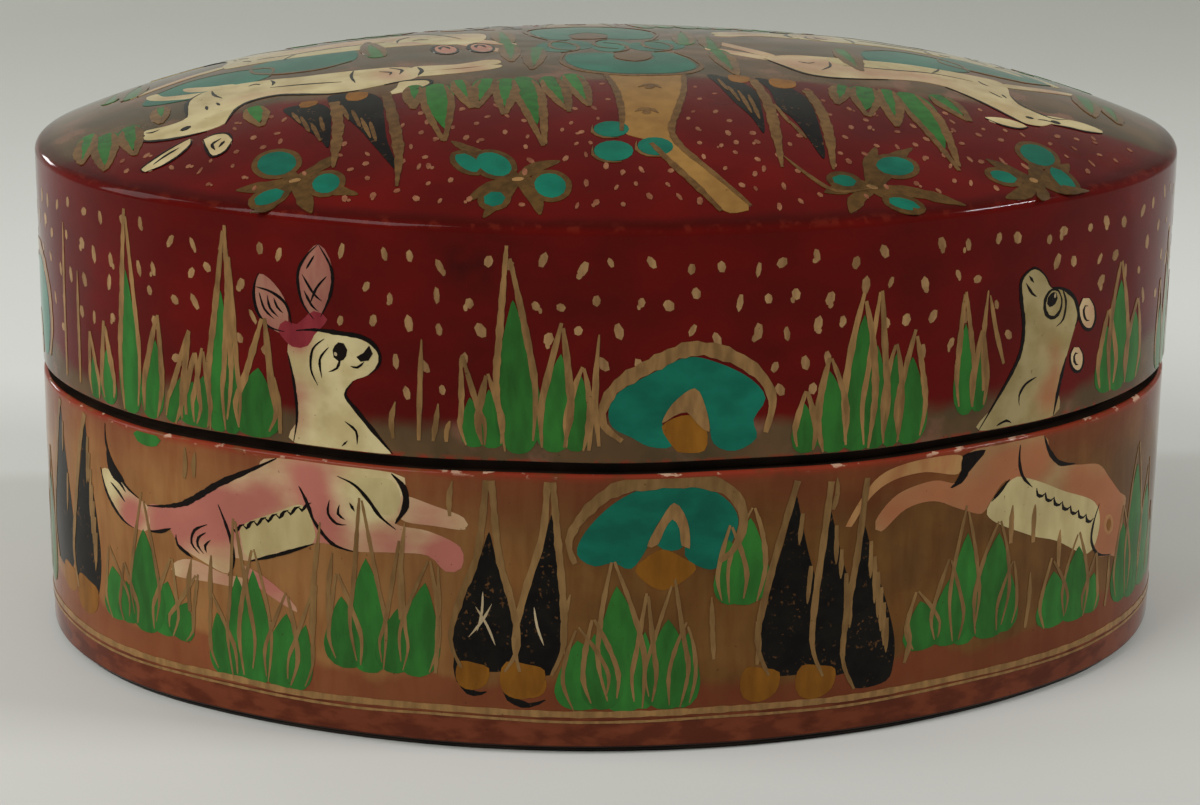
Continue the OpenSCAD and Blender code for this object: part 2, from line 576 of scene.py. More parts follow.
def lid_colour(tree):
    """Crimson, with earth above the seam and along the middle of the dome, and rubbed edges."""
    z, y = axis(tree, "Z"), axis(tree, "Y")
    red = mix(tree, blotches(tree, 9, 5, 0.2, 0.9, stretch=(1, 1, 0.6)), crimson, deep_crimson)
    ragged = times(tree, sums(tree, "SUBTRACT", cloud(tree, 14, 4), 0.5), 9)
    band = step_up(tree, plus(tree, z, ragged), sky_low, sky_low - fade)
    sideways = plus(tree, sums(tree, "ABSOLUTE", y, 0), ragged)
    behind = step_up(tree, sideways, dome_brown, dome_brown - fade)
    on_top = step_up(tree, z, shoulder_z - 0.2, shoulder_z + 0.2)
    brown = sums(tree, "MAXIMUM", band, times(tree, behind, on_top))
    colour = mix(tree, brown, red, earth_colour(tree))
    # A darker crimson band just above the shoulder.
    shoulder_band = near(tree, plus(tree, z, times(tree, cloud(tree, 6, 3), 0.8)), shoulder_z + 0.6, 0.8)
    colour = mix(tree, times(tree, shoulder_band, 0.7), colour, shoulder_band_crimson)
    rub = cloud(tree, 1.3, 4)
    lip = times(tree, near(tree, z, lid_z, 0.8), step_up(tree, rub, 0.45, 0.6))
    edge = times(tree, near(tree, z, shoulder_z - 0.2, 0.7), step_up(tree, rub, 0.5, 0.64))
    colour = mix(tree, lip, colour, rubbed_red)
    smudge = times(tree, near(tree, axis(tree, "X"), *smudge_x), near(tree, z, *smudge_z))
    smudge = times(tree, smudge, step_up(tree, y, -20, -30))
    smudge = times(tree, smudge, blotches(tree, 2.6, 4, 0.2, 0.85))
    colour = mix(tree, smudge, colour, smudge_dark)
    return mix(tree, times(tree, edge, 0.22), colour, rubbed_red)


lid_ground = lacquered("crimson_ground", lid_colour)

# %% [markdown]
# The base has an ochre earth, redder towards its rim and its foot, and lighter towards the left, which is
# painted light.
# Its rim is rubbed to the red chalk, with pale chips that are partly painted highlight, and below the gold
# line runs a band of mottled red-brown.

# %% Mix the ochre ground of the base
ochre, brown_ochre, red_ochre, lit_left_ochre = (114, 78, 38), (92, 62, 30), (112, 48, 30), (146, 103, 60)
band_red, band_dark, worn_pink = (112, 56, 34), (88, 40, 24), (214, 178, 150)
chip_and_glint_pale, board_edge = (204, 166, 138), (40, 22, 14)
foot_line = 4.75
red_above = (28, 38)
red_below = (13.6, 12.0)


def base_colour(tree):
    """Ochre, lighter to the left as painted light, reddish clouds at rim and foot, and a worn rim with painted
    glints.
    """
    z = axis(tree, "Z")
    ground = mix(tree, blotches(tree, 8, 5, 0.3, 0.7), ochre, brown_ochre)
    # Lighter ochre towards the left: painted light, because the light falls from the left.
    thin = step_up(tree, axis(tree, "X"), 0, -40)
    ground = mix(tree, thin, ground, lit_left_ochre)
    streak = blotches(tree, 2.6, 5, 0.35, 0.7, stretch=(0.5, 0.5, 3))
    ground = mix(tree, times(tree, streak, 0.4), ground, worn_pink, "MULTIPLY")
    high = step_up(tree, plus(tree, z, times(tree, cloud(tree, 9, 4), 8)), *red_above)
    low = step_up(tree, plus(tree, z, times(tree, cloud(tree, 9, 4), 8)), *red_below)
    red = times(tree, sums(tree, "MAXIMUM", high, low), 0.64)
    colour = mix(tree, red, ground, red_ochre)
    foot = step_up(tree, z, foot_line - 0.2, foot_line - 0.5)
    mottle = mix(tree, blotches(tree, 2.4, 5, 0.4, 0.62, stretch=(1.6, 1.6, 0.7)), band_red, band_dark)
    colour = mix(tree, foot, colour, mottle)
    rub = cloud(tree, 1.2, 4, (2, 2, 1))
    rim = times(tree, near(tree, z, rim_z, 1.3), step_up(tree, rub, 0.3, 0.5))
    colour = mix(tree, rim, colour, rubbed_red)
    # Pale chips along the rim: partly chips worn through to the chalk, partly painted highlight for the rim's
    # white glints.
    pale = near(tree, z, rim_z - 0.1, 0.7)
    chips_and_glints = times(tree, pale, blotches(tree, 0.9, 3, 0.6, 0.66, stretch=(2, 2, 1)))
    colour = mix(tree, chips_and_glints, colour, chip_and_glint_pale)
    return mix(tree, step_up(tree, z, lap_z + 0.4, lap_z + 0.1), colour, board_edge)


base_ground = lacquered("ochre_ground", base_colour)

# %% [markdown]
# The colours of the picture are mixed next. Each is a name that the painting steps use. The deer's cream
# turns pink where the painter blushed it, which the mesh keeps as a number called blush.

# %% Mix the colours of the picture


def blushed_cream(light, dark, touch):
    """Cream, clouded from light to dark, that turns in streaks to the colour of a touch of blush."""

    def colour_of(tree):
        streak = times(tree, sums(tree, "SUBTRACT", cloud(tree, 1.6, 4, (2.5, 2.5, 1)), 0.5), 0.4)
        blush = plus(tree, value_of(tree, "blush"), streak)
        cream = mix(tree, blotches(tree, 4, 4, 0.35, 0.7), light, dark)
        return mix(tree, step_up(tree, blush, 0.0, 1.0), cream, touch)

    return colour_of


def dry_black(tree):
    """Lamp black from a dry brush, which leaves grains of the ground bare."""
    grain = blotches(tree, 0.5, 4, 0.60, 0.68)
    patchy = blotches(tree, 3.2, 3, 0.42, 0.62)
    black = mix(tree, blotches(tree, 2, 3, 0.3, 0.7), (22, 19, 15), (12, 10, 8))
    return mix(tree, times(tree, times(tree, grain, patchy), 0.8), black, (96, 64, 34))


paints = {
    "deer": lacquered("deer_cream", blushed_cream((204, 189, 142), (182, 164, 116), (172, 104, 90))),
    # The right deer's cream is a darker copy of the deer's cream: painted shade on the side away from the
    # light. Its peach blush is its own.
    "peach": lacquered("deer_shaded_peach", blushed_cream((164, 148, 104), (144, 126, 82), (158, 100, 66))),
    "cream": lacquered("belly_cream", brushed((192, 177, 128), (170, 152, 105), 1.8)),
    "fawn": lacquered("deer_fawn", brushed((176, 136, 86), (156, 100, 62), 1.8)),
    "green": lacquered("leaf_green", brushed((50, 116, 46), (40, 86, 34), 1.5)),
    "turquoise": lacquered("turquoise", brushed((21, 114, 90), (17, 88, 70), 2.5, (1.5, 1.5, 1))),
    "black": lacquered("lamp_black", dry_black),
    "orange": lacquered("burnt_orange", brushed((142, 92, 26), (110, 68, 18), 1.6)),
    "trunk": lacquered("trunk_ochre", brushed((150, 112, 58), (128, 92, 46), 2)),
    "gold": lacquered("gold_paint", brushed((158, 120, 74), (112, 84, 50), 0.9)),
    "straw": lacquered("straw_line", brushed((140, 108, 66), (110, 82, 48), 0.9)),
    "rose": lacquered("ear_rose", brushed((168, 122, 100), (150, 92, 80), 1.4)),
    "olive": lacquered("olive_gold", brushed((98, 70, 34), (70, 50, 24), 0.9)),
    "khaki": lacquered("khaki_line", brushed((122, 90, 50), (88, 62, 34), 0.9)),
    "fleck": lacquered("gold_fleck", brushed((172, 136, 92), (128, 94, 60), 0.8)),
    "dust": lacquered("dome_fleck", brushed((154, 106, 76), (118, 66, 46), 0.8)),
    "ink": lacquered("ink_line", brushed((22, 13, 10), (12, 8, 6), 1)),
    "white": lacquered("white_line", brushed((190, 172, 138), (160, 140, 108), 1)),
    "pink": lacquered("ear_pink", brushed((138, 48, 54), (112, 30, 40), 1.2)),
}
print("paints", sorted(paints))

# %% [markdown]
# ## Strokes and patches
# A brush stroke isn't a form that grows out of a primitive: it is a line with a width. So the paint is drawn
# in code. A smooth line runs through a few given points. A stroke lays a ribbon along it, and a
# patch fills the outline with small triangles, so that it can follow the curved face. Each colour of each
# half becomes one mesh, with a real thickness of paint.

# %% Draw smooth lines through chosen points
dice = random.Random(7)
paint_step = 0.8
patch_grid = 1.1
grid_clear = 0.5
least_area = 0.0001
taper = 3


def between(a, b, c, d, t):
    """The share t of the way from b to c, on a smooth line that comes from a and goes on to d."""
    bend = 2 * a - 5 * b + 4 * c - d
    twist = 3 * (b - c) + d - a
    return b + 0.5 * t * (c - a + t * (bend + t * twist))


def smooth_line(points, closed=False, step=paint_step):
    """A smooth line through all the points, with a point about every step millimetres."""
    count = len(points)
    spans = count if closed else count - 1
    line = []
    for span in range(spans):
        around = [span + shift for shift in (-1, 0, 1, 2)]
        if closed:
            a, b, c, d = (points[i % count] for i in around)
        else:
            a, b, c, d = (points[min(max(i, 0), count - 1)] for i in around)
        pieces = max(1, round(math.dist(b, c) / step))
        for piece in range(pieces):
            line.append([between(a[k], b[k], c[k], d[k], piece / pieces) for k in (0, 1)])
    if not closed:
        line.append(list(points[-1]))
    return line


def inside(spot, outline):
    """True if the spot lies within the outline."""
    u, v = spot
    hit = False
    for (a, b), (c, d) in zip(outline, outline[1:] + outline[:1]):
        if (b > v) != (d > v) and u < (c - a) * (v - b) / (d - b) + a:
            hit = not hit
    return hit


print("a line through three points:", len(smooth_line([(0, 0), (5, 3), (10, 0)])), "points")

# %% [markdown]
# Each coat has its own level, so that grass lies over the deer and the gold lies over the grass. A coat keeps
# the outlines of its figures too, because the gold flecks of the sky are left out where something stands.

# %% Keep the coats of paint
coat_level = {
    "olive": 0.006, "trunk": 0.012, "black": 0.012, "fleck": 0.012, "dust": 0.012, "turquoise": 0.018,
    "deer": 0.024, "peach": 0.024, "rose": 0.024, "orange": 0.026, "fawn": 0.030, "cream": 0.032,
    "pink": 0.034, "green": 0.038, "ink": 0.046, "khaki": 0.050, "straw": 0.054, "gold": 0.054,
    "white": 0.062,
}
coats = {}
figures = {}


def lay(face, colour, spots, polygons, blush=None):
    """Adds flat spots and polygons to the coat of one colour, on one map of the box.

    A stroke that would run over an edge of the wall stops at it.
    """
    part, to_box, lowest, highest = maps[face]
    coat = coats.setdefault((part, colour), {"points": [], "polygons": [], "tone": [], "blush": []})
    first = len(coat["points"])
    tone = dice.random()
    level = coat_level[colour] + 0.005 * tone
    kept = [(u, min(max(v, lowest), highest)) for u, v in spots]
    for u, v in kept:
        coat["points"].append(worn_by_hand(to_box(u, v, level), body_of_part[part]))
        coat["tone"].append(tone)
        coat["blush"].append(blush(u, v) if blush else 0.0)
    for polygon in polygons:
        corners = [kept[i] for i in polygon]
        area = sum(a[0] * b[1] - b[0] * a[1] for a, b in zip(corners, corners[1:] + corners[:1]))
        if abs(area) > least_area:
            order = polygon if area > 0 else polygon[::-1]
            coat["polygons"].append([first + i for i in order])


def patch(face, colour, outline, blush=None, figure=True):
    """Fills a smooth outline through the given points."""
    edge = smooth_line(outline, closed=True)
    if figure:
        figures.setdefault(face, []).append(edge)
    us, vs = [p[0] for p in edge], [p[1] for p in edge]
    left, low = min(us), min(vs)
    middle = []
    for row in range(int((max(vs) - low) / patch_grid)):
        for column in range(int((max(us) - left) / patch_grid)):
            spot = (left + patch_grid * (column + 0.5 + 0.25 * (row % 2)), low + patch_grid * (row + 0.5))
            if inside(spot, edge) and min(math.dist(spot, p) for p in edge) > grid_clear:
                middle.append(spot)
    spots = [Vector(p) for p in edge + middle]
    ring = [list(range(len(edge)))]
    filled = geometry.delaunay_2d_cdt(spots, [], ring, 1, least_area)
    lay(face, colour, [tuple(p) for p in filled[0]], [list(p) for p in filled[2]], blush)


def stroke(face, colour, points, thick, ends=(0.15, 0.15), step=paint_step):
    """A brush line of a full width, which narrows to a share of it at its start and its end."""
    line = smooth_line(points, step=step)
    spots = []
    for i, here in enumerate(line):
        before, after = line[max(i - 1, 0)], line[min(i + 1, len(line) - 1)]
        away = math.dist(before, after) or 1
        side = ((before[1] - after[1]) / away, (after[0] - before[0]) / away)
        t = i / max(len(line) - 1, 1)
        swell = min(1, ends[0] + (1 - ends[0]) * t * taper, ends[1] + (1 - ends[1]) * (1 - t) * taper)
        half = thick / 2 * swell * (1 + 0.2 * math.sin(2.3 * i + 3 * points[0][0]) * math.sin(0.9 * i))
        spots.append((here[0] + side[0] * half, here[1] + side[1] * half))
        spots.append((here[0] - side[0] * half, here[1] - side[1] * half))
    lay(face, colour, spots, [[k, k + 1, k + 3, k + 2] for k in range(0, len(spots) - 2, 2)])


def oval_of(middle, wide, tall, lean=0.0, corners=8, uneven=0.0):
    """The outline of a leaning oval. Uneven is the share by which its radius swells and shrinks."""
    spots = []
    for corner in range(corners):
        a = 2 * math.pi * corner / corners
        r = 1 + uneven * math.sin(2 * a + 7 * middle[0] + 3 * middle[1])
        across, along = wide / 2 * r * math.cos(a), tall / 2 * r * math.sin(a)
        spots.append((
            middle[0] + across * math.cos(lean) - along * math.sin(lean),
            middle[1] + across * math.sin(lean) + along * math.cos(lean),
        ))
    return spots


def dab(face, colour, middle, wide, tall, lean=0.0, corners=9):
    """One touch of the brush: a small uneven oval."""
    lay(face, colour, oval_of(middle, wide, tall, lean, corners, uneven=0.16), [list(range(corners))])


print("coats, from the lowest:", sorted(coat_level, key=coat_level.get))

# %% [markdown]
# ## What grows on the box
# The picture is the old hunting-ground pattern of this craft: deer leap through tall grass, with round trees
# and dark cypresses between them, under a sky strewn with gold. The first things are the ones that repeat.
# Each is drawn once as a function, and planted where the picture needs it. Up is where the leaf's tip points,
# so the same leaf also grows on the dome, where the picture stands on its head.

# %% Draw a leaf, a blade and a tuft


def spot_by(foot, tip, t, side):
    """A spot by the line from foot to tip: t along it, and side millimetres to its right."""
    u, v = tip[0] - foot[0], tip[1] - foot[1]
    away = math.hypot(u, v)
    return (foot[0] + u * t + side * v / away, foot[1] + v * t - side * u / away)


def both_sides(foot, tip, wide, shape, fat=(1, 1)):
    """An outline up the right side, over the tip and down the left. Shape lists (way up, half width)."""
    right = [spot_by(foot, tip, t, wide * half * fat[0]) for t, half in shape]
    left = [spot_by(foot, tip, t, -wide * half * fat[1]) for t, half in shape[::-1]]
    return right + [tip] + left


line_of = {"lid": ("gold", 0.74), "base": ("straw", 0.5), "dome": ("khaki", 0.95)}
blade_wide = 0.6
root_shape = ((-0.5, 0.1), (-0.35, 0.5), (0.1, 0.45), (0.5, 0.3), (0.42, -0.25), (0.0, -0.5), (-0.4, -0.35))


def line_on(face):
    """The paint and the width of the thin lines on one part of the box."""
    return line_of[face.split()[0]]


def leaf(face, foot, tip, wide, point=1.28):
    """A green leaf with a round foot. Two lines over it meet above it, at point times its height."""
    paint, line = line_on(face)
    shape = ((-0.05, 0.16), (0.0, 0.36), (0.1, 0.52), (0.3, 0.58), (0.55, 0.44), (0.78, 0.25), (0.93, 0.10))
    fat = [dice.uniform(0.9, 1.12) for side in range(2)]
    patch(face, "green", both_sides(foot, tip, wide, shape, fat))
    sway = dice.uniform(-0.3, 0.3)
    for side in (-1, 1):
        low = dice.uniform(-0.04, 0.1)
        down = [(point * dice.uniform(0.96, 1.03), 0.03), (0.8, 0.30), (0.4, 0.46), (low, 0.34)]
        spots = [spot_by(foot, tip, t, side * wide * half + sway * t) for t, half in down]
        stroke(face, paint, spots, line * dice.uniform(0.85, 1.2), (0.5, 0.25))


def blade(face, foot, tip):
    """One gold blade of grass, with a slight bend."""
    bend = dice.uniform(-0.4, 0.4)
    stroke(face, line_on(face)[0], [foot, spot_by(foot, tip, 0.5, bend), tip], blade_wide, (0.6, 0.25))


def tuft(face, foot, leaves):
    """Leaves from one height: each is (foot, tip, height of the tip, width, height of the gold point)."""
    bushy = 1.65 if face.startswith("base") else 1.35
    for start, end, high, wide, point in leaves:
        leaf(face, (start, foot), (end, high), bushy * wide, (point - foot) / (high - foot))


print("half way up a leaf, 1 mm to its right:", spot_by((0, 0), (0, 10), 0.5, 1))

# %% [markdown]
# The cypress is a dark drop with gold edges, scratched with light lines, on burnt orange roots. The flower
# has turquoise petals with gold rims round a heart of olive strokes.

# %% Draw a cypress and a flower


def cypress(face, foot, tip, wide, line_end, scratches=(), combs=0):
    """A dark tree whose gold edges run on to line_end. A combed one has one edge, and strokes opposite."""
    paint = line_on(face)[0]
    shape = ((0, 0.30), (0.1, 0.46), (0.25, 0.5), (0.45, 0.4), (0.7, 0.2), (0.9, 0.07))
    patch(face, "black", both_sides(foot, tip, wide, shape))
    beside = ((0, 0.34), (0.2, 0.53), (0.5, 0.4), (0.85, 0.16))
    for side in (-1,) if combs else (-1, 1):
        edge = [spot_by(foot, tip, t, side * wide * half) for t, half in beside]
        stroke(face, paint, edge + [(line_end[0] + side * 0.3, line_end[1])], 0.8, (0.4, 0.9))
    for start, end in scratches:
        stroke(face, "white", [start, spot_by(start, end, 0.5, 0.2), end], 0.28)
    for comb in range(combs):
        high = 0.9 - 0.6 * comb / combs
        low = high - dice.uniform(0.16, 0.3)
        across = 0.5 * wide * (1 - high) ** 0.8 + 0.2
        top = spot_by(foot, tip, high, across)
        stroke(face, paint, [top, spot_by(foot, tip, low, across - 0.3)], 0.55, (0.8, 0.2))


def roots(face, *spots):
    """Burnt orange roots under a tree: each spot is a middle with a width and a height."""
    for u, v, wide, tall in spots:
        patch(face, "orange", [(u + wide * a, v + tall * b) for a, b in root_shape])


def petal(face, middle, wide, tall, lean):
    """A turquoise petal on a wider touch of olive gold."""
    patch(face, "olive", oval_of(middle, wide + 1.3, tall + 1.3, lean, 7))
    patch(face, "turquoise", oval_of(middle, wide, tall, lean, 7), figure=False)


def flower(face, heart, petals, spikes):
    """Petals round a heart, with one tapering olive leaf from the heart to each spike."""
    for tip in spikes:
        bend = spot_by(heart, tip, 0.5, dice.uniform(-0.7, 0.7))
        stroke(face, "olive", [heart, bend, tip], 1.7, (0.6, 0.12))
    for middle, wide, tall, lean in petals:
        stroke(face, "olive", [heart, middle], 1.6, (0.8, 0.8))
        petal(face, middle, wide, tall, lean)
    dab(face, "gold", heart, 1.2, 0.8)


def round_tree(face, crown, hollow, trunk, rim):
    """A turquoise crown with a gold rim over an orange trunk."""
    patch(face, "turquoise", crown)
    patch(face, "gold", hollow, figure=False)
    patch(face, "orange", trunk, figure=False)
    stroke(face, line_on(face)[0], rim, 1.6, (0.35, 0.35))


print("plants: leaf, blade, tuft, cypress, flower, petal, round tree")

# %% [markdown]
# ## The faces of the picture
# The same picture goes once round the front and once round the back, so each face of the box gets a front map
# and a back map. The back maps turn the picture half way round the box.

# %% Add the back maps


def behind_wall(u, z, lift):
    """The wall's map with its zero at the middle of the back."""
    return on_wall(math.remainder(u + half_way, 2 * half_way), z, lift)


def behind_dome(x, y, lift):
    """The dome's map turned half way round."""
    return on_dome(-x, -y, lift)


lid_foot = lid_z + lip_r
rim_top = rim_z - soft_r
maps = {
    "lid front": ("lid", on_wall, lid_foot, dome_z + 0.3),
    "lid back": ("lid", behind_wall, lid_foot, dome_z + 0.3),
    "base front": ("base", on_wall, floor_top + 0.4, rim_top),
    "base back": ("base", behind_wall, floor_top + 0.4, rim_top),
    "dome front": ("dome", on_dome, -width, width),
    "dome back": ("dome", behind_dome, -width, width),
}
body_of_part = {"lid": "lid", "dome": "lid", "base": "base"}
sides = ("front", "back")
print("maps", sorted(maps))

# %% [markdown]
# ## The leaping deer
# Two deer face each other across the front. Each is cut by the seam: its head and neck are on the lid, and
# its body is on the base. The cream body is one patch, blushed pink with soft round touches. Over it go the
# ink lines, which swell and thin as a pointed brush leaves them.

# %% Blush and ink


def blushed(*touches, base=0.0):
    """A number for each spot: a base, and round touches over it, each (u, v, reach, strength)."""

    def blush(u, v):
        shares = (math.exp(-((u - a) ** 2 + (v - b) ** 2) / (2 * r * r)) * s for a, b, r, s in touches)
        return base + sum(shares)

    return blush


def inked(face, *lines, thick=0.36):
    """Ink lines, each through its own points."""
    for line in lines:
        stroke(face, "ink", list(line), thick, (0.15, 0.1), 0.5)


print("blush in the middle of a touch:", blushed((0, 0, 1, 0.5))(0, 0))

# %% [markdown]
# The deer on the left of the front looks ahead, to the right, and gathers its legs. Its two parts are drawn
# apart, because the seam lies between them. Thick ink goes along the back and the throat, and thin ink round
# the eye, the ears and the hooves.

# %% Draw the deer that looks right


def right_looking_head(face):
    """Ears, head and neck, down to the seam."""
    neck = blushed((-40, 40, 1.6, 0.7), (-39.8, 46.4, 1.2, 1.2), (-40, 36, 1.5, 0.4))
    patch(face, "deer", [
        (-40.3, 34.2), (-39.8, 37.2), (-40.1, 41.0), (-40.9, 44.4), (-40.3, 46.6), (-38.0, 47.3),
        (-35.1, 47.3), (-32.2, 46.9), (-30.5, 46.0), (-30.2, 44.5), (-31.3, 43.0), (-33.2, 42.1),
        (-34.0, 40.5), (-32.7, 38.6), (-30.9, 36.6), (-29.3, 34.9), (-28.9, 34.2),
    ], neck)
    left_ear = [
        (-41.0, 46.8), (-43.0, 47.2), (-44.3, 48.8), (-44.7, 51.0), (-44.1, 53.1), (-42.3, 52.2),
        (-40.8, 49.9),
    ]
    right_ear = [
        (-37.6, 48.7), (-38.8, 50.4), (-39.3, 53.0), (-38.5, 55.5), (-36.9, 57.1), (-35.6, 55.6),
        (-35.3, 52.8), (-36.1, 50.2),
    ]
    patch(face, "rose", left_ear)
    patch(face, "rose", right_ear)
    patch(face, "pink", [
        (-42.0, 47.0), (-40.3, 45.3), (-38.4, 45.6), (-37.6, 46.9), (-36.0, 48.8), (-37.6, 49.6),
        (-39.7, 47.9), (-41.0, 48.2),
    ])
    inked(
        face,
        [
            (-39.8, 47.2), (-37.5, 47.5), (-34.8, 47.4), (-31.8, 47.1), (-30.2, 45.8), (-30.1, 44.2),
            (-31.4, 42.9),
        ],
        [(-33.2, 42.0), (-34.1, 40.5), (-32.7, 38.7), (-30.6, 36.3), (-28.7, 34.2)],
        thick=0.5,
    )
    inked(
        face,
        [(-40.9, 44.6), (-40.2, 41.2), (-39.9, 37.4), (-40.4, 34.2)],
        [(-41.2, 46.9), (-43.2, 47.3), (-44.6, 49.0), (-44.9, 51.3), (-44.2, 53.2)],
        [(-44.6, 51.6), (-42.6, 51.2), (-40.9, 50.0), (-40.3, 47.8)],
        [(-37.6, 48.7), (-39.0, 50.6), (-39.4, 53.6), (-38.4, 55.6), (-36.9, 57.1)],
        [(-36.9, 57.1), (-35.4, 54.4), (-35.6, 51.6), (-36.8, 49.0)],
        thick=0.34,
    )
    inked(
        face,
        [(-36.4, 46.6), (-37.8, 45.3), (-38.1, 43.0), (-37.3, 41.2)],
        [(-35.9, 45.7), (-37.0, 44.2), (-36.8, 42.1)],
        [(-34.5, 44.7), (-35.0, 43.4), (-36.0, 42.9)],
        [(-31.8, 44.4), (-32.6, 43.7), (-33.4, 43.8)],
        [(-34.2, 37.4), (-32.9, 36.4), (-32.8, 34.9)],
        [(-34.6, 34.5), (-33.9, 35.2)],
        [(-44.2, 51.0), (-43.6, 49.2), (-42.4, 48.2)],
        [(-43.2, 50.8), (-42.9, 49.4), (-41.9, 48.5)],
        [(-42.4, 50.6), (-42.0, 49.6), (-41.3, 49.0)],
        [(-38.7, 51.8), (-37.8, 50.2), (-37.0, 49.6)],
        [(-38.9, 53.6), (-37.6, 51.6), (-36.6, 50.8)],
        [(-36.0, 53.6), (-37.2, 52.2), (-38.0, 50.4)],
        [(-37.4, 55.8), (-38.4, 54.2)],
        thick=0.28,
    )
    dab(face, "ink", (-34.6, 45.3), 1.7, 2.2, 0.3)
    dab(face, "white", (-35.1, 45.0), 0.35, 0.5)
    patch(face, "ink", [
        (-31.2, 46.3), (-31.9, 45.4), (-32.7, 44.9), (-32.2, 44.4), (-31.3, 44.6), (-30.8, 45.4),
    ], figure=False)


def right_looking_body(face):
    """Chest, legs, back and tail, below the seam."""
    pink = blushed(
        (-51.0, 24.2, 2.4, 1.1), (-57.5, 22.4, 2.4, 0.9), (-47.0, 25.6, 1.6, 0.6), (-38.6, 30.6, 1.9, 0.7),
        (-36.4, 24.6, 1.8, 0.6), (-29.5, 24.2, 1.8, 0.5), (-22.6, 22.4, 1.8, 1.2), (-44.0, 27.4, 1.8, 0.5),
        (-37.6, 27.6, 1.4, 0.5), (-31.0, 29.4, 2.0, -0.7), (-38.6, 21.0, 2.0, 0.2), base=0.36,
    )
    patch(face, "deer", [
        (-27.8, 29.6), (-24.0, 28.7), (-20.7, 27.5), (-20.6, 26.1), (-24.0, 26.3), (-27.8, 26.8),
    ], blushed((-25, 26.6, 2, 0.3), base=0.4))
    patch(face, "deer", [
        (-42.8, 32.3), (-45.4, 30.6), (-50.0, 28.1), (-52.8, 26.2), (-55.3, 24.8), (-58.0, 24.1),
        (-60.6, 23.7), (-60.6, 20.8), (-57.4, 21.5), (-56.3, 19.9), (-52.6, 18.4), (-49.4, 17.6),
        (-48.4, 19.6), (-46.3, 19.6), (-42.0, 21.3), (-38.0, 22.9), (-35.6, 22.9), (-33.0, 22.5),
        (-29.0, 22.8), (-24.8, 22.8), (-22.8, 21.1), (-21.0, 21.6), (-21.1, 24.0), (-24.6, 25.6),
        (-28.4, 26.2), (-27.5, 28.2), (-27.4, 30.4), (-28.8, 32.3),
    ], pink)
    patch(face, "cream", [
        (-33.4, 30.6), (-31.4, 31.4), (-28.9, 31.4), (-27.9, 29.6), (-28.4, 27.6), (-30.0, 27.2),
        (-31.8, 28.6),
    ], figure=False)
    patch(face, "cream", [
        (-47.2, 23.7), (-47.3, 21.6), (-46.4, 19.9), (-42.3, 21.4), (-38.3, 22.9), (-38.3, 25.2),
        (-39.6, 27.2), (-43.0, 25.8),
    ], figure=False)
    patch(face, "deer", [
        (-57.0, 17.4), (-54.4, 18.4), (-50.0, 17.5), (-47.0, 17.3), (-47.4, 16.2), (-52.0, 16.1),
        (-56.8, 16.0),
    ], blushed((-52, 17, 4, 0.3), base=0.3))
    patch(face, "deer", [
        (-47.6, 19.0), (-44.4, 17.9), (-41.4, 15.9), (-40.4, 14.4), (-43.6, 15.7), (-46.6, 17.4),
    ], blushed((-44, 17, 3, 0.5), base=0.4))
    patch(face, "deer", [
        (-60.6, 23.4), (-62.8, 24.3), (-65.0, 25.6), (-66.6, 26.4), (-68.9, 26.2), (-68.1, 23.9),
        (-66.6, 22.1), (-64.8, 20.9), (-62.8, 20.4), (-60.8, 20.7),
    ], blushed((-63.5, 22.0, 1.4, 0.9), (-67, 25, 1.4, -0.4), base=0.35))
    patch(face, "ink", [
        (-67.8, 29.0), (-66.4, 27.4), (-64.6, 25.7), (-66.2, 25.5), (-67.6, 26.6),
    ], figure=False)
    inked(
        face,
        [
            (-42.6, 32.3), (-45.3, 30.8), (-50.0, 28.3), (-52.8, 26.4), (-55.3, 24.9), (-58.0, 24.1),
            (-60.8, 23.6),
        ],
        [(-28.9, 32.2), (-27.5, 30.6), (-27.3, 28.4), (-28.5, 26.2)],
        thick=0.75,
    )
    inked(
        face,
        [(-62.2, 24.2), (-64.4, 25.2), (-66.6, 27.2), (-67.9, 29.6), (-68.0, 32.0)],
        [(-69.2, 26.3), (-68.2, 23.8), (-66.6, 22.0), (-64.8, 20.8), (-63.2, 20.4)],
        [(-35.2, 31.2), (-33.2, 30.4), (-31.6, 28.8), (-30.2, 26.9), (-28.4, 25.5)],
        [(-39.2, 27.8), (-38.2, 25.6), (-37.0, 24.0), (-35.6, 22.9), (-33.2, 22.4)],
        [(-46.6, 19.5), (-42.2, 21.1), (-38.2, 22.8)],
        [(-39.9, 29.4), (-39.1, 27.9), (-38.1, 25.4)],
        [(-50.4, 25.7), (-49.2, 22.9), (-48.5, 20.2), (-48.7, 18.3), (-49.4, 17.3)],
        [(-56.5, 21.0), (-56.3, 19.8), (-54.2, 18.6)],
        [(-60.5, 20.6), (-58.8, 20.9), (-57.2, 21.6)],
        thick=0.42,
    )
    inked(
        face,
        [(-36.2, 28.2), (-36.4, 26.6), (-35.4, 25.5), (-34.2, 25.5)],
        [(-35.0, 27.8), (-35.2, 26.7), (-34.4, 26.1)],
        [(-33.8, 28.2), (-33.2, 27.2)],
        [(-52.0, 23.0), (-53.8, 22.0), (-54.3, 20.4), (-53.2, 19.3)],
        [(-52.2, 22.0), (-53.3, 21.2), (-53.4, 20.2), (-52.6, 19.4)],
        [(-51.6, 21.2), (-52.4, 20.4), (-52.2, 19.6)],
        [(-67.2, 25.0), (-65.8, 24.2), (-64.6, 23.2)],
        [(-66.8, 25.7), (-65.4, 25.3), (-64.4, 24.4)],
        thick=0.34,
    )
    for bump in range(7):
        u, v = -48.6 + 1.42 * bump, 23.4 + 0.62 * bump
        inked(face, [(u, v - 0.2), (u + 0.5, v - 0.6), (u + 1.1, v + 0.2), (u + 1.7, v + 0.5)], thick=0.42)


print("the deer that looks right needs", sorted(["deer", "rose", "pink", "cream", "ink", "white"]))
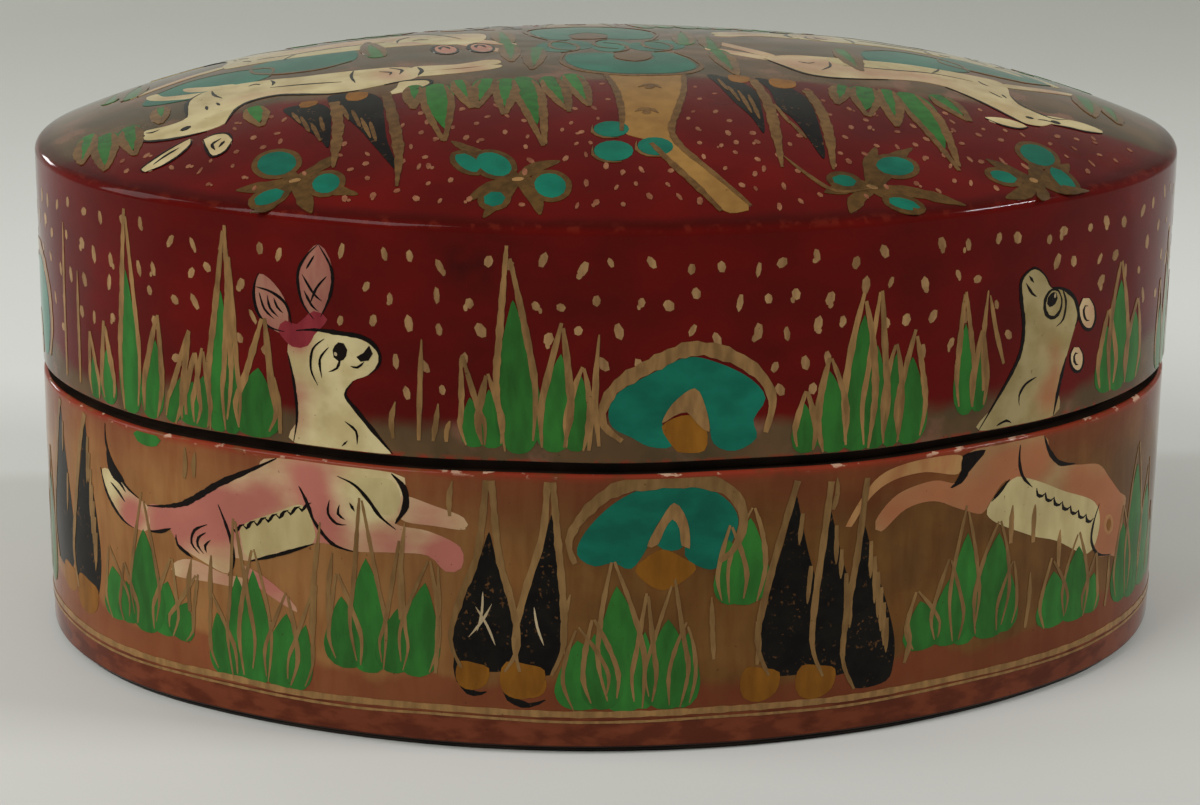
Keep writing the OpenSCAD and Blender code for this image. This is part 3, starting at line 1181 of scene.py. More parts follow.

# %% [markdown]
# The deer on the right has a darker cream, which is painted shade because the light falls from the left, and a
# peach blush of its own. It throws its head up and back. Its belly is cream, and a row of short curls marks
# the fur along it.

# %% Draw the deer that looks back


def left_looking_head(face):
    """A raised muzzle, a ringed eye and two curled ears, down to the seam."""
    patch(face, "peach", [
        (39.3, 34.3), (41.3, 37.0), (43.7, 40.3), (45.0, 42.8), (45.3, 46.0), (44.7, 48.8), (44.7, 51.2),
        (46.3, 52.2), (48.0, 51.2), (49.2, 49.6), (51.2, 49.0), (53.1, 47.6), (53.9, 45.6), (53.2, 43.2),
        (52.3, 40.6), (51.4, 37.6), (50.8, 34.3),
    ], blushed((49.6, 36.6, 1.6, 0.8), (51.0, 39.5, 1.3, 0.6), (50.3, 42.4, 1.0, 0.4)))
    for middle, wide, tall, lean in (((55.7, 45.6), 2.6, 4.2, 0.45), ((54.3, 40.4), 2.1, 3.2, 0.4)):
        patch(face, "deer", oval_of(middle, wide, tall, lean), blushed((middle[0], middle[1], 3, 0.4)))
        curl = oval_of(middle, wide * 1.05, tall * 1.05, lean)
        inked(face, curl[2:] + curl[:2], oval_of(middle, wide * 0.45, tall * 0.5, lean)[1:7], thick=0.36)
    inked(
        face,
        [
            (39.2, 34.3), (41.3, 37.2), (43.7, 40.5), (45.0, 43.0), (45.2, 46.0), (44.6, 49.0), (44.5, 51.2),
            (46.3, 52.3), (48.0, 51.3), (49.2, 49.7),
        ],
        [(49.4, 49.6), (51.4, 49.1), (53.3, 47.7), (54.1, 45.6), (53.6, 44.4)],
        [(52.4, 41.0), (51.5, 37.8), (50.7, 34.3)],
        thick=0.48,
    )
    ring = oval_of((49.7, 47.7), 2.8, 3.4, 0.2)
    inked(face, ring + ring[:2], thick=0.45)
    dab(face, "ink", (49.5, 48.2), 1.5, 1.9)
    dab(face, "white", (49.9, 48.6), 0.4, 0.5)
    inked(
        face,
        [(51.0, 49.3), (51.8, 47.6), (51.5, 45.6), (50.4, 44.9)],
        [(45.6, 51.5), (46.4, 50.6)],
        [(45.2, 50.7), (46.2, 49.4), (47.0, 48.9)],
        [(47.6, 39.4), (45.9, 38.8), (45.0, 37.6), (45.1, 36.4)],
        [(41.8, 34.5), (43.2, 34.9), (44.0, 34.5)],
        thick=0.32,
    )


def left_looking_body(face):
    """A twisted back with cream belly, folded forelegs and a stretched hind leg."""
    peach = blushed(
        (44.0, 29.0, 2.6, 0.7), (34.0, 28.2, 3.0, 0.6), (28.0, 26.4, 2.0, 0.5), (49.0, 29.4, 1.6, 0.6),
        (56.0, 25.6, 2.2, 0.6), (61.6, 21.8, 2.6, 0.9), (63.0, 17.0, 2.2, 0.9), (39.6, 26.0, 1.6, 0.6),
        base=0.36,
    )
    patch(face, "fawn", [
        (37.0, 31.9), (33.0, 32.3), (29.0, 32.0), (26.2, 31.0), (24.2, 28.8), (22.2, 25.4), (22.9, 25.3),
        (25.2, 28.6), (28.0, 30.3), (32.0, 30.7), (36.6, 29.8),
    ])
    patch(face, "cream", [
        (41.0, 24.2), (47.6, 20.5), (52.3, 18.8), (58.4, 15.8), (60.5, 18.6), (59.2, 22.0), (53.0, 24.8),
        (47.8, 27.2), (44.6, 27.8),
    ])
    patch(face, "peach", [
        (38.0, 32.1), (43.0, 32.4), (49.3, 32.4), (50.5, 29.9), (52.3, 28.4), (55.4, 27.5), (59.6, 26.6),
        (62.3, 24.2), (65.0, 21.8), (66.8, 20.6), (66.2, 18.2), (66.4, 15.6), (66.0, 13.4), (63.4, 14.3),
        (60.4, 15.0), (58.9, 17.4), (59.4, 20.4), (56.5, 21.4), (53.0, 23.8), (49.0, 25.6), (46.4, 26.6),
        (43.6, 27.8), (41.4, 25.6), (40.2, 24.4), (36.8, 25.6), (33.4, 27.0), (29.8, 26.6), (26.7, 24.3),
        (25.9, 25.6), (28.6, 28.5), (33.2, 29.5), (36.8, 28.8),
    ], peach)
    patch(face, "ink", [
        (37.2, 31.9), (40.4, 32.1), (39.2, 30.8), (37.6, 29.4), (35.8, 28.2), (37.0, 30.0),
    ], figure=False)
    inked(
        face,
        [(49.4, 32.3), (50.4, 30.2), (52.2, 28.4), (55.0, 27.7)],
        [(35.6, 28.3), (37.0, 28.9), (38.2, 30.2)],
        thick=0.6,
    )
    inked(
        face,
        [(45.6, 31.9), (45.6, 29.8), (46.3, 27.8), (47.9, 26.2)],
        [(60.2, 21.6), (59.2, 19.4), (59.0, 17.2), (60.4, 15.3), (62.4, 14.6), (63.6, 14.4)],
        [(44.2, 27.9), (42.8, 26.6), (41.6, 25.6)],
        thick=0.42,
    )
    for bump in range(7):
        u, v = 48.6 + 1.5 * bump, 26.0 - 0.84 * bump
        inked(face, [(u, v), (u + 0.2, v - 0.9), (u + 1.0, v - 1.2), (u + 1.6, v - 0.9)], thick=0.42)
    for u, v in ((44.8, 23.2), (48.4, 22.6), (52.9, 18.6)):
        stroke(face, "gold", [(u, v - 3.2), (u, v), (u + 0.1, v + 1.4)], 0.7, (0.8, 0.2))
    dab(face, "fawn", (62.6, 18.4), 2.4, 2.6)
    dab(face, "orange", (62.7, 18.3), 1.3, 1.5)


print("the deer that looks back needs peach, fawn, orange and gold as well")

# %% [markdown]
# ## Paint the walls
# Now the picture is put together. The numbers are spots on the map, given one by one: what stands where, and
# how high it grows. Each tuft has its own leaves, so that no two are alike.

# %% Paint the lid's wall


def paint_lid(face):
    """Everything on the lid's wall, from left to right."""
    foot = lid_z + 0.6
    tuft(face, foot, [
        (-69.6, -69.9, 39.6, 1.6, 42.5), (-66.8, -67.0, 41.0, 2.0, 44.0), (-62.8, -63.0, 51.0, 2.6, 58.0),
        (-59.6, -58.6, 43.6, 2.2, 46.6), (-56.6, -54.9, 40.0, 1.6, 45.2),
    ])
    tuft(face, foot, [
        (-54.0, -53.4, 39.6, 2.2, 43.0), (-52.4, -51.9, 40.5, 2.0, 43.6), (-50.0, -49.2, 50.6, 2.4, 57.6),
        (-48.2, -47.9, 45.0, 1.9, 55.0), (-45.4, -44.6, 42.4, 4.2, 48.0),
    ])
    round_tree(
        face,
        [
            (-4.9, 40.2), (-3.8, 42.2), (-0.2, 44.3), (3.6, 46.0), (7.3, 45.1), (10.7, 43.2), (12.3, 41.0),
            (11.0, 38.6), (11.4, 36.4), (9.0, 35.0), (6.6, 36.0), (5.9, 39.4), (4.4, 42.3), (2.2, 40.6),
            (0.9, 38.6), (2.0, 35.9), (-0.4, 35.9), (-2.4, 37.0), (-4.5, 38.2),
        ],
        [
            (0.9, 38.6), (2.0, 40.8), (4.4, 42.5), (5.6, 40.4), (6.1, 37.4), (4.6, 38.6), (3.6, 39.8),
            (2.2, 39.4),
        ],
        [(0.9, 38.2), (2.0, 36.0), (2.6, 35.2), (5.6, 35.2), (5.8, 37.8), (4.8, 39.2), (3.0, 39.4)],
        [
            (-3.4, 36.6), (-5.4, 38.4), (-5.4, 40.6), (-3.9, 43.0), (-0.3, 45.2), (3.8, 46.9), (7.8, 46.2),
            (11.4, 43.9), (13.1, 40.8), (12.4, 37.0),
        ],
    )
    tuft(face, foot + 1.2, [
        (-19.4, -20.0, 41.2, 2.2, 46.0), (-17.6, -17.9, 42.2, 2.2, 44.0), (-14.6, -15.3, 52.2, 3.4, 57.6),
        (-10.9, -10.1, 46.4, 2.6, 49.6), (-8.5, -7.9, 44.0, 2.0, 45.0),
    ])
    tuft(face, foot, [
        (17.0, 16.7, 40.2, 2.0, 41.6), (20.4, 19.6, 43.6, 2.8, 45.0), (23.2, 23.6, 49.6, 3.0, 51.6),
        (25.2, 25.3, 46.0, 2.6, 52.0), (27.3, 27.8, 45.0, 1.9, 46.0), (29.7, 29.8, 44.2, 3.0, 47.0),
    ])
    tuft(face, foot + 2.4, [(37.2, 36.7, 47.2, 2.0, 50.6), (38.9, 39.1, 44.0, 1.7, 46.0)])
    tuft(face, foot + 1.0, [
        (60.3, 59.7, 43.4, 3.0, 45.0), (62.7, 62.3, 48.4, 3.6, 50.5), (65.8, 66.4, 43.8, 3.2, 45.4),
    ])
    tuft(face, foot, [
        (76.4, 75.6, 42.6, 2.6, 46.0), (79.4, 79.2, 46.8, 2.8, 51.0), (82.6, 83.6, 41.4, 2.4, 44.6),
    ])
    for start, end in (
        ((-54.4, 35.5), (-54.0, 45.0)), ((-28.6, 36.0), (-28.3, 40.2)), ((-25.7, 36.0), (-25.3, 47.4)),
        ((-24.1, 36.0), (-23.5, 40.3)), ((-22.6, 36.0), (-22.2, 38.4)), ((-7.0, 35.5), (-6.0, 48.6)),
        ((-5.9, 36.0), (-6.1, 46.0)), ((39.6, 39.0), (39.7, 50.6)), ((42.4, 41.8), (40.0, 50.0)),
        ((-42.0, 35.0), (-42.6, 41.6)), ((-73.2, 35.4), (-73.0, 49.0)), ((-77.0, 35.4), (-76.6, 54.0)),
    ):
        blade(face, start, end)
    round_tree(
        face,
        [
            (-97.0, 38.0), (-96.0, 42.4), (-92.4, 46.4), (-88.0, 47.2), (-84.6, 44.6), (-83.4, 40.4),
            (-84.6, 36.4), (-87.0, 36.0), (-88.6, 38.6), (-90.6, 40.4), (-92.4, 38.2), (-94.0, 35.8),
        ],
        [(-92.4, 38.0), (-90.6, 40.5), (-88.4, 38.4), (-89.4, 37.4), (-91.2, 37.4)],
        [(-92.0, 37.6), (-91.8, 35.2), (-89.0, 35.2), (-88.8, 37.6), (-90.4, 39.0)],
        [
            (-98.0, 36.8), (-97.4, 42.4), (-93.4, 47.4), (-88.0, 48.4), (-83.6, 45.4), (-82.2, 40.4),
            (-83.4, 36.4),
        ],
    )
    right_looking_head(face)
    left_looking_head(face)


for side in sides:
    paint_lid(f"lid {side}")
print("figures on the lid's wall:", sum(len(figures[f"lid {side}"]) for side in sides))

# %% [markdown]
# The base carries the bodies, the roots and the lower half of each plant. The deer come first, then the
# trees, and the grass last, so that it grows over the legs. Two gold lines run once round the foot.

# %% Paint the base's wall


def paint_base(face):
    """Everything on the base, from left to right. The grass is planted last, over the deer's legs."""
    right_looking_body(face)
    left_looking_body(face)
    round_tree(
        face,
        [
            (-8.2, 24.4), (-6.8, 27.0), (-3.9, 29.9), (-0.4, 31.5), (4.6, 31.6), (8.0, 29.9), (9.6, 27.4),
            (8.9, 24.6), (7.3, 21.8), (5.2, 22.1), (3.7, 23.4), (3.9, 26.0), (3.4, 28.2), (2.4, 29.4),
            (0.5, 27.0), (-0.4, 24.6), (-2.2, 22.0), (-4.2, 22.7), (-6.2, 22.3), (-7.8, 23.1),
        ],
        [
            (-0.5, 24.6), (0.7, 27.2), (2.4, 29.6), (3.9, 27.4), (4.2, 24.2), (3.3, 24.6), (3.0, 26.6),
            (2.2, 27.7), (1.3, 26.3), (0.7, 24.8),
        ],
        [(-1.8, 21.8), (-0.6, 23.2), (1.2, 24.2), (3.4, 23.2), (5.0, 21.8), (2.2, 19.6), (0.2, 19.8)],
        [
            (-8.4, 22.6), (-9.1, 25.2), (-7.4, 28.4), (-4.2, 31.2), (-0.4, 32.0), (5.0, 32.0), (8.6, 30.6),
            (10.2, 27.6), (9.4, 24.2), (7.6, 22.6),
        ],
    )
    patch(face, "turquoise", [
        (0.6, 24.7), (1.4, 26.6), (2.3, 28.0), (3.3, 26.9), (3.6, 24.6), (2.2, 24.0),
    ], figure=False)
    crossed = [
        ((-20.2, 13.6), (-17.6, 17.6)), ((-19.2, 14.4), (-18.6, 19.0)), ((-17.2, 12.8), (-19.4, 17.2)),
        ((-12.9, 17.4), (-11.8, 13.0)),
    ]
    cypress(face, (-18.6, 9.8), (-17.9, 26.0), 7.2, (-17.9, 32.0), crossed)
    cypress(face, (-12.7, 9.6), (-10.9, 28.6), 5.2, (-11.2, 32.0))
    cypress(face, (16.2, 8.6), (16.2, 29.6), 7.6, (16.6, 31.4), combs=2)
    cypress(face, (22.0, 8.0), (20.3, 27.6), 5.6, (20.6, 31.0), combs=4)
    cypress(face, (26.2, 6.0), (24.6, 25.2), 6.4, (25.0, 31.0), combs=6)
    cypress(face, (-80.6, 11.0), (-80.0, 31.4), 7.4, (-79.6, 32.0), combs=2)
    cypress(face, (-73.6, 9.4), (-72.6, 31.6), 6.8, (-72.2, 32.0), combs=7)
    stroke(face, "black", [(-21.8, 11.4), (-21.2, 8.4), (-19.6, 6.9), (-18.2, 7.2)], 0.9)
    stroke(face, "black", [(-16.6, 8.8), (-15.6, 6.6), (-13.4, 5.8), (-11.6, 6.5)], 0.8)
    roots(
        face,
        (-19.8, 9.0, 3.8, 3.4), (-14.2, 8.7, 5.0, 4.4), (-13.0, 8.0, 3.0, 2.6), (12.6, 7.6, 4.6, 4.2),
        (19.2, 7.3, 4.8, 4.2), (-78.6, 10.0, 5.0, 3.4), (-73.6, 9.2, 5.4, 4.6),
    )
    tuft(face, 8.6, [
        (-66.2, -67.6, 14.6, 3.0, 17.0), (-64.4, -65.0, 13.4, 2.2, 15.5), (-61.8, -61.6, 20.6, 3.2, 24.6),
        (-58.9, -58.0, 15.0, 2.6, 18.0), (-56.8, -55.2, 13.0, 2.4, 16.8),
    ])
    tuft(face, 5.4, [
        (-49.6, -51.0, 12.6, 2.2, 14.6), (-47.6, -48.2, 17.6, 2.4, 24.0), (-45.9, -46.0, 18.6, 2.8, 21.0),
        (-43.0, -41.8, 14.0, 2.8, 16.4), (-40.8, -39.4, 13.0, 2.0, 18.0),
    ])
    tuft(face, 9.0, [
        (-34.2, -35.0, 17.0, 2.6, 20.0), (-31.6, -32.0, 21.8, 2.8, 29.0), (-29.0, -28.2, 16.4, 2.2, 24.0),
        (-26.4, -25.1, 19.6, 3.0, 22.0),
    ])
    tuft(face, 5.9, [
        (-6.6, -8.1, 13.6, 3.4, 15.0), (-5.0, -6.2, 14.4, 2.6, 16.0), (-2.7, -3.8, 20.0, 3.4, 23.4),
        (-0.7, -0.6, 14.6, 1.8, 19.0), (1.7, 2.0, 16.0, 3.2, 20.4), (3.4, 4.3, 14.4, 2.0, 15.4),
    ])
    tuft(face, 17.8, [(9.2, 8.6, 25.0, 2.2, 26.5), (10.4, 11.0, 27.4, 2.8, 28.4)])
    tuft(face, 9.6, [
        (33.2, 32.2, 15.2, 3.0, 16.6), (36.0, 36.3, 17.4, 3.0, 19.6), (38.4, 38.4, 22.4, 2.8, 25.4),
        (42.0, 43.0, 21.6, 3.4, 23.4), (44.4, 45.0, 16.4, 2.0, 18.0),
    ])
    tuft(face, 8.4, [
        (52.8, 52.2, 15.0, 3.2, 16.6), (56.2, 56.6, 17.2, 3.2, 19.0), (59.0, 60.0, 13.0, 2.2, 15.4),
    ])
    tuft(face, 8.0, [
        (67.2, 66.4, 17.6, 3.0, 19.6), (70.2, 70.2, 24.0, 3.6, 26.6), (74.4, 75.2, 20.0, 3.4, 23.0),
        (77.4, 78.6, 14.6, 2.2, 16.6),
    ])
    tuft(face, 7.4, [
        (-90.6, -91.8, 15.0, 2.8, 17.0), (-87.6, -87.2, 20.4, 3.0, 24.6), (-94.2, -95.2, 18.8, 3.0, 21.6),
    ])
    for start, end in (
        ((-54.8, 12.0), (-54.4, 18.4)), ((-51.8, 13.0), (-51.6, 19.4)), ((-38.8, 12.0), (-37.4, 25.4)),
        ((-36.6, 14.0), (-36.0, 22.0)), ((-28.0, 15.0), (-27.4, 26.4)), ((-24.0, 9.0), (-23.6, 21.6)),
        ((-22.3, 27.6), (-22.0, 31.8)), ((7.2, 11.0), (6.8, 18.4)), ((-55.0, 28.0), (-54.8, 31.8)),
        ((-53.6, 28.4), (-53.4, 31.4)), ((12.2, 10.0), (12.0, 15.2)), ((20.6, 27.6), (21.0, 31.4)),
        ((47.8, 9.0), (48.2, 15.8)), ((62.8, 8.0), (63.2, 14.2)), ((-9.6, 12.0), (-8.9, 19.0)),
        ((30.4, 8.0), (30.8, 12.6)),
    ):
        blade(face, start, end)
    sprouts = oval_of((-60.5, 32.0), 4.4, 2.2, 0)
    patch(face, "green", sprouts, figure=False)


for side in sides:
    paint_base(f"base {side}")
for level, thick in ((foot_line + 0.1, 0.75), (foot_line - 0.75, 0.3)):
    way_round = []
    for u in range(-193, 195, 8):
        way_round.append((u, level + 0.12 * math.sin(0.21 * u) + dice.uniform(-0.08, 0.08)))
    stroke("base front", "gold", way_round, thick, (1, 1), 1.2)
print("coats so far:", len(coats))

# %% [markdown]
# ## Paint the dome
# On the dome the picture stands on its head: trees and grass grow towards the front edge. A tree with two
# trunks stands in the middle, a deer runs out on each side, and flowers fill the sky along the edge.

# %% Draw the deer of the dome


def dome_deer_left(face):
    """The deer that runs to the left edge, with its forelegs stretched out."""
    leg_blush = blushed((-52, -4, 3, 0.3), (-18, -11, 3, 0.5), (-27, -11, 2.4, 0.3))
    for leg in (
        [
            (-56.4, -0.8), (-55.2, -0.6), (-54.2, -3.4), (-51.6, -5.4), (-49.4, -6.6), (-50.8, -8.0),
            (-54.0, -5.8), (-56.0, -3.2),
        ],
        [
            (-52.0, -1.8), (-50.8, -2.4), (-48.6, -4.2), (-46.0, -5.4), (-45.6, -6.8), (-48.8, -6.4),
            (-51.4, -4.2),
        ],
        [
            (-24.4, -9.0), (-19.4, -9.4), (-15.8, -7.8), (-14.2, -8.2), (-14.4, -10.2), (-18.6, -11.4),
            (-24.0, -11.6),
        ],
        [
            (-24.4, -12.0), (-18.6, -11.8), (-15.0, -10.6), (-13.9, -11.4), (-15.2, -12.8), (-19.0, -13.8),
            (-24.2, -14.0),
        ],
    ):
        patch(face, "deer", leg, leg_blush)
    patch(face, "deer", [
        (-56.3, -17.5), (-55.6, -16.6), (-53.0, -17.0), (-50.9, -15.9), (-51.1, -11.2), (-50.8, -8.4),
        (-49.4, -6.6), (-45.6, -6.0), (-41.2, -6.9), (-37.4, -7.9), (-31.2, -8.1), (-27.6, -8.2),
        (-25.0, -9.2), (-23.6, -11.4), (-24.0, -14.0), (-25.5, -15.6), (-28.2, -16.4), (-31.2, -17.3),
        (-34.3, -17.3), (-37.4, -16.0), (-40.5, -14.6), (-43.5, -14.9), (-45.1, -16.6), (-45.8, -18.8),
        (-46.4, -21.0), (-48.5, -21.9), (-51.2, -21.7), (-53.2, -21.2), (-55.4, -19.8),
    ], blushed((-28, -11, 2.2, 0.4), (-40, -14, 2, 0.3), (-45, -13, 2, 0.3), (-26, -14, 2, 0.3)))
    patch(face, "deer", [
        (-26.0, -15.6), (-23.4, -15.7), (-22.6, -17.4), (-24.2, -19.2), (-27.6, -20.2), (-26.6, -18.0),
    ], blushed((-25, -18, 2, 0.2)))
    far_ear = [
        (-50.2, -23.0), (-51.9, -24.0), (-53.9, -25.6), (-55.6, -27.4), (-55.0, -28.4), (-53.0, -28.0),
        (-51.2, -26.6), (-50.1, -24.6),
    ]
    near_ear = [
        (-48.7, -24.3), (-48.2, -27.2), (-47.4, -29.2), (-46.0, -28.6), (-45.3, -26.3), (-45.9, -24.3),
        (-47.4, -23.6),
    ]
    for ear in (far_ear, near_ear):
        patch(face, "deer", ear, blushed((-50, -26, 5, 0.2)))
        inked(face, ear[:5], ear[4:] + ear[:1], thick=0.34)
    inked(
        face,
        [(-51.4, -24.8), (-53.0, -26.0), (-54.2, -27.2)],
        [(-46.6, -25.2), (-47.6, -26.2), (-47.2, -27.8)],
        [(-46.2, -26.0), (-46.8, -27.4)],
        thick=0.4,
    )
    inked(
        face,
        [(-50.9, -15.9), (-51.2, -11.4), (-50.9, -8.6), (-49.6, -6.7)],
        [(-56.4, -17.4), (-55.6, -19.9), (-53.2, -21.4), (-50.8, -22.0), (-48.4, -22.1)],
        [
            (-46.3, -21.1), (-45.8, -18.9), (-45.1, -16.7), (-43.5, -15.0), (-40.5, -14.6), (-37.4, -16.0),
            (-34.3, -17.4), (-31.0, -17.5),
        ],
        [(-24.0, -9.4), (-23.5, -11.6), (-24.0, -13.8)],
        [(-28.0, -16.4), (-25.4, -15.6), (-22.9, -16.0), (-22.7, -17.8), (-24.4, -19.4)],
        thick=0.5,
    )
    inked(
        face,
        [(-48.4, -6.8), (-48.0, -9.2), (-47.0, -11.4)],
        [(-41.4, -7.2), (-41.0, -8.6), (-41.2, -10.0)],
        [(-31.6, -8.2), (-31.9, -11.0), (-31.4, -14.2)],
        [(-41.4, -10.8), (-37.4, -11.8), (-33.0, -13.0)],
        [(-27.4, -8.6), (-25.9, -10.2), (-26.2, -12.4)],
        [(-28.6, -10.0), (-27.2, -11.0), (-27.4, -12.2)],
        [(-48.8, -13.2), (-48.6, -15.0)],
        [(-47.6, -12.8), (-47.2, -14.2)],
        [(-44.0, -8.2), (-43.2, -7.8), (-42.6, -8.6)],
        [(-55.6, -17.4), (-54.8, -17.9), (-54.0, -17.6)],
        thick=0.36,
    )
    dab(face, "ink", (-50.9, -19.6), 1.3, 1.2)
    dab(face, "ink", (-55.9, -18.3), 0.6, 0.6)


def dome_deer_right(face):
    """The deer that runs to the right edge and looks back over its shoulder."""
    warm = blushed((22, -9, 4, 0.4), (34, -11, 5, 0.35), (45, -20, 3, 0.1), base=0.12)
    for leg in (
        [(18.6, -6.6), (16.2, -4.2), (12.4, -1.6), (11.4, -2.4), (15.4, -6.2), (18.4, -8.4)],
        [(19.6, -5.2), (16.6, -0.8), (14.0, 2.6), (13.2, 1.6), (15.8, -2.6), (18.6, -6.2)],
        [
            (47.4, -7.2), (50.8, -5.6), (54.6, -3.4), (58.4, -1.4), (58.0, -2.6), (54.4, -5.2), (50.8, -7.4),
            (47.6, -8.8),
        ],
    ):
        patch(face, "deer", leg, blushed((15, -2, 6, 0.5), (54, -5, 4, 0.5)))
    patch(face, "deer", [
        (17.9, -7.2), (19.8, -5.4), (22.4, -4.6), (26.6, -4.8), (30.5, -4.9), (35.2, -4.7), (40.4, -5.2),
        (44.0, -5.6), (46.8, -6.1), (47.5, -9.0), (47.0, -13.0), (47.5, -16.1), (48.8, -17.8), (50.9, -19.2),
        (49.9, -21.2), (48.4, -22.6), (46.6, -22.9), (44.9, -21.3), (43.4, -19.4), (41.1, -16.6),
        (38.8, -14.0), (35.6, -13.3), (31.9, -14.0), (28.0, -15.0), (24.5, -15.2), (22.0, -14.2),
        (20.4, -11.8), (18.9, -9.0),
    ], warm)
    patch(face, "cream", [
        (26.0, -5.2), (31.0, -5.2), (36.0, -5.2), (39.6, -5.6), (38.8, -8.0), (33.0, -8.8), (27.4, -9.0),
    ], figure=False)
    muzzle = [
        (49.8, -18.6), (53.0, -17.6), (55.2, -17.4), (57.0, -18.2), (56.4, -19.4), (54.4, -20.2),
        (52.2, -20.4), (50.2, -20.8),
    ]
    ear = [
        (41.7, -23.5), (43.8, -22.7), (45.6, -22.9), (46.6, -23.9), (45.3, -24.9), (43.4, -24.9),
        (42.1, -24.5),
    ]
    patch(face, "deer", muzzle, blushed((52, -19, 3, 0.1)))
    patch(face, "deer", ear, blushed((43, -24, 3, 0.2)))
    inked(
        face,
        [(17.9, -7.4), (19.6, -10.8), (21.8, -14.2), (24.5, -15.4), (28.0, -15.2), (31.9, -14.2)],
        [(38.8, -14.2), (41.1, -16.8), (43.4, -19.6), (44.9, -21.4), (46.6, -23.0), (48.4, -22.8)],
        [(47.0, -12.8), (47.4, -16.0), (48.8, -17.7), (50.8, -18.8), (53.0, -17.6)],
        [(50.4, -21.0), (52.4, -20.6), (54.6, -20.3), (56.8, -19.2)],
        [(41.6, -23.8), (43.4, -25.0), (45.4, -25.0), (46.8, -23.8)],
        thick=0.36,
    )
    inked(
        face,
        [(25.9, -7.4), (25.6, -10.0), (24.2, -12.3)],
        [(22.0, -8.4), (23.2, -9.0), (24.0, -8.2)],
        [(39.9, -4.6), (39.4, -6.2), (38.4, -8.0)],
        [(27.4, -9.1), (33.0, -9.0), (38.6, -8.2), (43.2, -9.2)],
        [(44.0, -8.4), (44.4, -9.6), (45.0, -10.2)],
        [(44.4, -13.0), (45.0, -14.0), (45.6, -14.8)],
        [(45.9, -13.2), (46.2, -14.6)],
        [(48.6, -20.6), (49.6, -20.2), (50.8, -20.4)],
        thick=0.3,
    )
    dab(face, "ink", (50.9, -20.0), 1.1, 1.2)
    dab(face, "ink", (47.6, -20.6), 0.9, 0.8)


def combed_cypress(face, outline, edge, combs):
    """A dark tree with one khaki edge, and short khaki strokes combed over its other side."""
    patch(face, "black", outline)
    stroke(face, "khaki", edge, 1.3, (0.9, 0.2))
    for comb in combs:
        stroke(face, "khaki", list(comb), 0.5, (0.4, 0.3))


print("paint laid before the dome:", sum(len(coat["points"]) for coat in coats.values()), "points")

# %% [markdown]
# Both halves of the dome get the same picture, each with its own draws of the dice. The head of one more deer
# looks up from the brown strip between them.

# %% Paint the dome's picture


